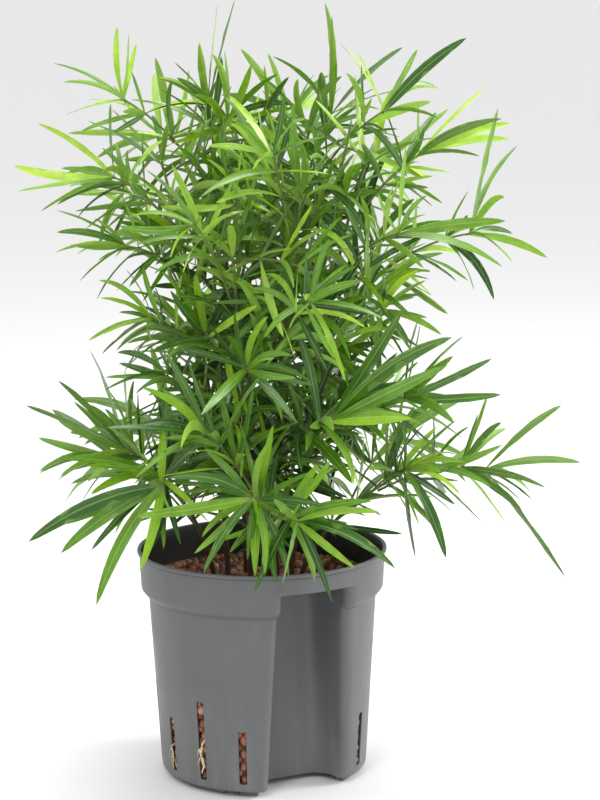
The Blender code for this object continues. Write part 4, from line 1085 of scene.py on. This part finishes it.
def makeLeafGreen():
    finish, made, shader = newMaterial("leafGreen")
    tint = attributeOf(made, "tint")
    skin = useGroup(made, blade, Map=mapOf(made), Seed=tint, Count=15.0, Rib=0.075)
    # tint to green: deep green for the low, inner leaves, where it is painted shade, up to bright
    # yellow-green, which is partly the young leaves' own colour and partly painted highlight and light
    # shining through
    base = made.ramp(tint, [(0.0, (0.008, 0.042, 0.003)), (0.25, (0.030, 0.112, 0.004)),
                            (0.50, (0.115, 0.275, 0.006)), (0.75, (0.265, 0.490, 0.014)),
                            (1.0, (0.44, 0.66, 0.040))])
    base = scaleColour(made, base, made.remap(skin["Lines"], 0.30, 0.70, 0.84, 1.14))
    base = scaleColour(made, base, made.remap(skin["Blotches"], 0.25, 0.75, 0.74, 1.24))
    pale = made.mix(0.40, base, (0.24, 0.38, 0.09, 1))
    base = made.mix(made.math("MULTIPLY", skin["Under"], 0.75), base, pale)
    ribShare = made.math("MULTIPLY", skin["Midrib"], 0.55)
    base = made.mix(ribShare, base, (0.36, 0.50, 0.15, 1))
    foot = made.remap(skin["Along"], 0.0, 0.09, 0.6, 0.0)
    base = made.mix(foot, base, (0.30, 0.34, 0.10, 1))
    atTip = made.remap(skin["Along"], 0.965, 1.0, 0.0, 0.8)
    burnt = made.math("MULTIPLY", atTip, made.remap(skin["Blotches"], 0.4, 0.55))
    base = made.mix(burnt, base, (0.21, 0.12, 0.035, 1))
    made.tree.links.new(base, shader.inputs["Base Color"])
    gloss = made.remap(skin["Lines"], 0.3, 0.7, 0.26, 0.40)
    rough = made.math("ADD", gloss, made.math("MULTIPLY", skin["Under"], 0.16))
    made.tree.links.new(rough, shader.inputs["Roughness"])
    shader.inputs["Subsurface Weight"].default_value = 0.10
    shader.inputs["Subsurface Radius"].default_value = (0.4, 1.0, 0.15)
    shader.inputs["Subsurface Scale"].default_value = 0.0012
    shader.inputs["Specular IOR Level"].default_value = 0.5
    veins = made.math("MULTIPLY", skin["Lines"], 0.5)
    height = made.math("ADD", veins, made.math("MULTIPLY", skin["Midrib"], 0.6))
    addBump(made, shader, height, 0.35, 0.0004)
    return finish


def makeStemSkin():
    finish, made, shader = newMaterial("stemSkin")
    place = placeOf(made)
    age = attributeOf(made, "age")
    grain = useGroup(made, mottle, Place=place, Coarse=120.0, Fine=900.0, Clouds=0.7, Grain=0.5)
    streakPlace = made.add("ShaderNodeMapping", {"Vector": place, "Scale": (1.0, 1.0, 0.10)}).outputs[0]
    streaks = made.noise(streakPlace, 1300.0, 2.0)
    colour = made.ramp(age, [(0.0, (0.060, 0.026, 0.013)), (0.22, (0.105, 0.055, 0.022)),
                             (0.5, (0.115, 0.125, 0.030)), (1.0, (0.130, 0.230, 0.040))])
    colour = scaleColour(made, colour, grain["Swing"])
    colour = scaleColour(made, colour, made.remap(streaks, 0.3, 0.7, 0.75, 1.2))
    made.tree.links.new(colour, shader.inputs["Base Color"])
    made.tree.links.new(made.remap(grain["Clouds"], 0.3, 0.7, 0.42, 0.62), shader.inputs["Roughness"])
    addBump(made, shader, streaks, 0.4, 0.0004)
    return finish


crown = {
    "rings": 26,
    "sides": 90,
    "drop": 0.0035,  # how far the ball's top lies under the pebbles' tops
    "bark": 0.0016,
}


def makeRootBall(finish):
    # a turned profile whose top is roughened by sums of sines of its angle and radius
    low, high = (np.array(c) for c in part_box("root_ball"))
    centre, radius = (low + high)[:2] / 2, (high - low)[0] / 2
    share = np.linspace(0.02, 1.0, crown["rings"])
    a = np.linspace(0, 2 * math.pi, crown["sides"], endpoint=False)
    s, t = np.meshgrid(share, a, indexing="ij")
    rough = np.sin(t * 7 + s * 23) * np.sin(s * 31 - t * 3)
    rough = rough + 0.6 * np.sin(t * 17 - s * 41) + 0.5 * np.sin(s * 71 + t * 29)
    z = bedTop - crown["drop"] + crown["bark"] * rough * (1 - s**6) - 0.006 * s**8
    r = s * radius * 0.985
    top = np.stack([centre[0] + r * np.cos(t), centre[1] + r * np.sin(t), z], -1)
    side = top[-1] + np.array([0, 0, -0.012])
    narrowed = centre[:2] + (top[-1, :, :2] - centre[:2]) * 0.82
    foot = np.column_stack([narrowed, np.full(len(a), low[2] + 0.001)])
    rows = np.concatenate([top, side[None], foot[None]])[::-1]
    columns = len(a)
    caps = np.stack([np.arange(columns)[::-1], (len(rows) - 1) * columns + np.arange(columns)])
    makePiece("rootBall", rows.reshape(-1, 3), [gridFaces(len(rows), columns), caps], [finish],
              ["root_ball"])


def makeRootBark():
    finish, made, shader = newMaterial("rootBark")
    place = placeOf(made)
    grain = useGroup(made, mottle, Place=place, Coarse=170.0, Fine=900.0, Clouds=1.4, Grain=0.8)
    colour = made.ramp(grain["Clouds"], [(0.3, (0.020, 0.011, 0.007)), (0.5, (0.060, 0.030, 0.016)),
                                         (0.7, (0.125, 0.070, 0.038))])
    made.tree.links.new(scaleColour(made, colour, grain["Swing"]), shader.inputs["Base Color"])
    made.tree.links.new(made.remap(grain["Height"], 0.3, 0.7, 0.75, 0.95), shader.inputs["Roughness"])
    addBump(made, shader, grain["Clouds"], 0.8, 0.002)
    return finish


withered = {"fold": 0.55, "ripple": 0.16, "width": 0.0072, "arch": 0.10, "seed": 4}


def makeDryLeaves(finish):
    # each blade runs between the two ends of its solid in the frame, folded deep and rippled
    rng = np.random.default_rng(withered["seed"])
    for number in (1, 2, 3):
        node = f"dry_leaf_{number}"
        points, _ = weldedMesh(node)
        centre = points.mean(axis=0)
        axis = np.linalg.svd(points - centre, full_matrices=False)[2][0]
        along = (points - centre) @ axis
        start = points[along < along.min() + 0.002].mean(axis=0)
        end = points[along > along.max() - 0.002].mean(axis=0)
        if start[2] > end[2]:
            start, end = end, start
        run = end - start
        bend = np.array([0, 0, withered["arch"]]) * np.linalg.norm(run)
        base = start + np.array([0, 0, 0.0016])
        side = unit(np.cross(run, [0, 0, 1.0]))
        leaves = {"base": base[None], "lean": (run - bend)[None], "bend": bend[None], "side": side[None],
                  "width": np.array([withered["width"]])}
        shape, faces, cornerMap = leafSurface(leaves, rng, withered["fold"], withered["ripple"], 0.0)
        tint = np.full(len(shape), (0.25, 0.6, 0.85)[number - 1])
        makePiece(f"dryLeaf{number}", shape, [faces], [finish], [node], None, cornerMap,
                  {"tint": tint}, sharpAngle=70)


def makeDryBlade():
    finish, made, shader = newMaterial("dryBlade")
    tint = attributeOf(made, "tint")
    skin = useGroup(made, blade, Map=mapOf(made), Seed=tint, Count=14.0, Rib=0.08)
    base = made.ramp(tint, [(0.0, (0.16, 0.075, 0.025)), (0.5, (0.36, 0.24, 0.065)),
                            (1.0, (0.40, 0.36, 0.07))])
    base = scaleColour(made, base, made.remap(skin["Lines"], 0.3, 0.7, 0.62, 1.2))
    base = scaleColour(made, base, made.remap(skin["Blotches"], 0.3, 0.7, 0.55, 1.2))
    made.tree.links.new(base, shader.inputs["Base Color"])
    made.tree.links.new(made.remap(skin["Blotches"], 0.3, 0.7, 0.55, 0.8), shader.inputs["Roughness"])
    addBump(made, shader, skin["Lines"], 0.7, 0.0006)
    return finish


strands = {
    "root_strand_1": {"slot": 2, "radius": 0.0011, "branches": 2},
    "root_strand_2": {"slot": 2, "radius": 0.0007, "branches": 3},
    "root_strand_3": {"slot": 3, "radius": 0.0006, "branches": 6},
}


def tubeAlong(path, radii, sides=7):
    # a round profile carried along a path of points, tapering from the first radius to the second
    way = unit(np.gradient(path, axis=0))
    level = unit(np.cross(way, np.array([0.31, 0.17, 1.0])))
    other = np.cross(way, level)
    a = np.linspace(0, 2 * math.pi, sides, endpoint=False)
    radius = np.linspace(*radii, len(path))[:, None, None]
    ring = level[:, None] * np.cos(a)[None, :, None] + other[:, None] * np.sin(a)[None, :, None]
    points = path[:, None] + radius * ring
    caps = np.stack([np.arange(sides)[::-1], (len(path) - 1) * sides + np.arange(sides)])
    return points.reshape(-1, 3), gridFaces(len(path), sides), caps


def makeRoots(finish):
    # each strand leaves its slot, knees over the wall and wanders down it by a sum of two sines. Branches
    # leave it at random shares and taper away
    rng = np.random.default_rng(17)
    first = math.radians(pot["firstSlot"])
    pitch = (math.pi - first) / pot["slotsPerSide"]
    for number, (node, facts) in enumerate(strands.items(), 1):
        low, high = (np.array(c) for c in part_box(node))
        angle = 2 * math.pi - (first + (facts["slot"] - 1) * pitch)
        away = np.array([math.sin(angle), -math.cos(angle), 0])
        along = np.array([math.cos(angle), math.sin(angle), 0])
        middle = (low + high) / 2
        shift = float(middle @ along)
        t = np.linspace(0, 1, 22)
        z = lerp(high[2] - 0.001, low[2] + 0.0008, t)
        knee = lerp(-pot["wall"] - 0.001, 0.0013, smoothShare(t * 6))
        out = bodyRadius(z) + knee + facts["radius"] * 0.6
        sway = 0.0010 * np.sin(t * 9 + number) + 0.0005 * np.sin(t * 23 + 2 * number)
        path = away * out[:, None] + along * (shift + sway)[:, None] + np.array([0, 0, 1]) * z[:, None]
        shapes = [tubeAlong(path, (facts["radius"] * 1.05, facts["radius"] * 0.55))]
        for _ in range(facts["branches"]):
            at = int(rng.integers(3, 17))
            u = np.linspace(0, 1, 9)
            reach = rng.uniform(0.004, 0.010)
            turn = rng.choice([-1, 1])
            branch = (path[at] + along * (turn * reach * (0.8 * u - 0.25 * u**2))[:, None]
                      + np.array([0, 0, -1]) * (reach * (0.35 * u + 0.8 * u**2))[:, None]
                      + away * (0.0004 * np.sin(u * 6))[:, None])
            shapes.append(tubeAlong(branch, (facts["radius"] * 0.55, facts["radius"] * 0.2), 6))
        counts = np.cumsum([0] + [len(s[0]) for s in shapes])
        points = np.concatenate([s[0] for s in shapes])
        quads = np.concatenate([s[1] + n for s, n in zip(shapes, counts)])
        caps = [s[2] + n for s, n in zip(shapes, counts)]
        faceSets = [quads, caps[0]] + ([np.concatenate(caps[1:])] if len(caps) > 1 else [])
        makePiece(f"rootStrand{number}", points, faceSets, [finish], [node], sharpAngle=60)


def makeRootSkin():
    finish, made, shader = newMaterial("rootSkin")
    place = placeOf(made)
    grain = useGroup(made, mottle, Place=place, Coarse=300.0, Fine=1600.0, Clouds=0.5, Grain=0.4)
    colour = made.ramp(grain["Clouds"], [(0.3, (0.42, 0.27, 0.13)), (0.5, (0.72, 0.56, 0.36)),
                                         (0.75, (0.84, 0.74, 0.54))])
    made.tree.links.new(scaleColour(made, colour, grain["Swing"]), shader.inputs["Base Color"])
    made.tree.links.new(made.remap(grain["Height"], 0.3, 0.7, 0.45, 0.65), shader.inputs["Roughness"])
    shader.inputs["Subsurface Weight"].default_value = 0.15
    shader.inputs["Subsurface Scale"].default_value = 0.002
    addBump(made, shader, grain["Height"], 0.5, 0.0005)
    return finish


studio = {
    "floorSize": 120.0,
    "floorColour": (0.90, 0.90, 0.90),
    "worldLight": 0.90,
    "lights": (  # name, place, size, power
        ("keyLight", (-1.6, -1.5, 2.2), 0.7, 17.0),
        ("fillLight", (1.9, -0.7, 1.2), 0.9, 32.0),
        ("topLight", (0.1, 0.3, 2.4), 0.9, 26.0),
    ),
    "turn": -26.5,  # degrees round the pot
    "distance": 2.2,
    "height": 0.735,
    "tiltDown": 10.36,
    "pan": -0.90,
    "lean": -0.46,
    "lens": 115.3,
}


def makeStage():
    half = studio["floorSize"] / 2
    mesh = bpy.data.meshes.new("floor")
    corners = [(-half, -half, 0), (half, -half, 0), (half, half, 0), (-half, half, 0)]
    mesh.from_pydata(corners, [], [(0, 1, 2, 3)])
    finish, made, shader = newMaterial("floorPaper")
    shader.inputs["Base Color"].default_value = (*studio["floorColour"], 1)
    shader.inputs["Roughness"].default_value = 0.9
    shader.inputs["Specular IOR Level"].default_value = 0.1
    mesh.materials.append(finish)
    floor = bpy.data.objects.new("floor", mesh)
    bpy.context.scene.collection.objects.link(floor)
    world = bpy.data.worlds.new("studio")
    bpy.context.scene.world = world
    world.use_nodes = True
    made = NodeTree(world.node_tree)
    seen = made.add("ShaderNodeLightPath").outputs["Is Camera Ray"]
    strength = made.remap(seen, 0.0, 1.0, studio["worldLight"], 1.0)
    background = world.node_tree.nodes["Background"]
    background.inputs["Color"].default_value = (1.0, 1.0, 1.0, 1)
    world.node_tree.links.new(strength, background.inputs["Strength"])
    for name, place, size, power in studio["lights"]:
        lamp = bpy.data.lights.new(name, "AREA")
        lamp.shape, lamp.size, lamp.energy = "DISK", size, power
        light = bpy.data.objects.new(name, lamp)
        light.location = place
        aim = Vector((0, 0, 0.36)) - Vector(place)
        light.rotation_euler = aim.to_track_quat("-Z", "Y").to_euler()
        bpy.context.scene.collection.objects.link(light)


def makeCamera():
    turn = Matrix.Rotation
    data = bpy.data.cameras.new("camera")
    data.lens, data.sensor_width = studio["lens"], 36.0
    camera = bpy.data.objects.new("camera", data)
    camera.matrix_world = (turn(math.radians(studio["turn"]), 4, "Z")
                           @ Matrix.Translation((0, -studio["distance"], studio["height"]))
                           @ turn(math.radians(studio["pan"]), 4, "Z")
                           @ turn(math.radians(90 - studio["tiltDown"]), 4, "X")
                           @ turn(math.radians(studio["lean"]), 4, "Z"))
    bpy.context.scene.collection.objects.link(camera)
    bpy.context.scene.camera = camera
    bpy.context.scene.view_settings.view_transform = "Standard"


makeStage()
makeCamera()
print("stage and camera ready")

makePot(makePotPlastic())
print("pot made")

stems = [readStem(node) for node in sorted(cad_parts) if node.startswith(("cane_", "shoot_"))]
print("stems read:", len(stems), "with", sum(len(s["leaves"]["base"]) for s in stems), "leaves")
feet = np.array([s["curves"][0][0] for s in stems if s["node"].startswith("cane_")])
print("pebbles:", makePebbles(makeFiredClay(), feet))

print("leaves after filling:", fillStems(stems))
plantFinishes = [makeLeafGreen(), makeStemSkin()]
plantRandom = np.random.default_rng(leaf["seed"])
print("leaves made:", sum(makeStemPiece(stem, plantFinishes, plantRandom) for stem in stems))

makeRootBall(makeRootBark())
makeDryLeaves(makeDryBlade())
makeRoots(makeRootSkin())
print("root ball, withered leaves and roots made")
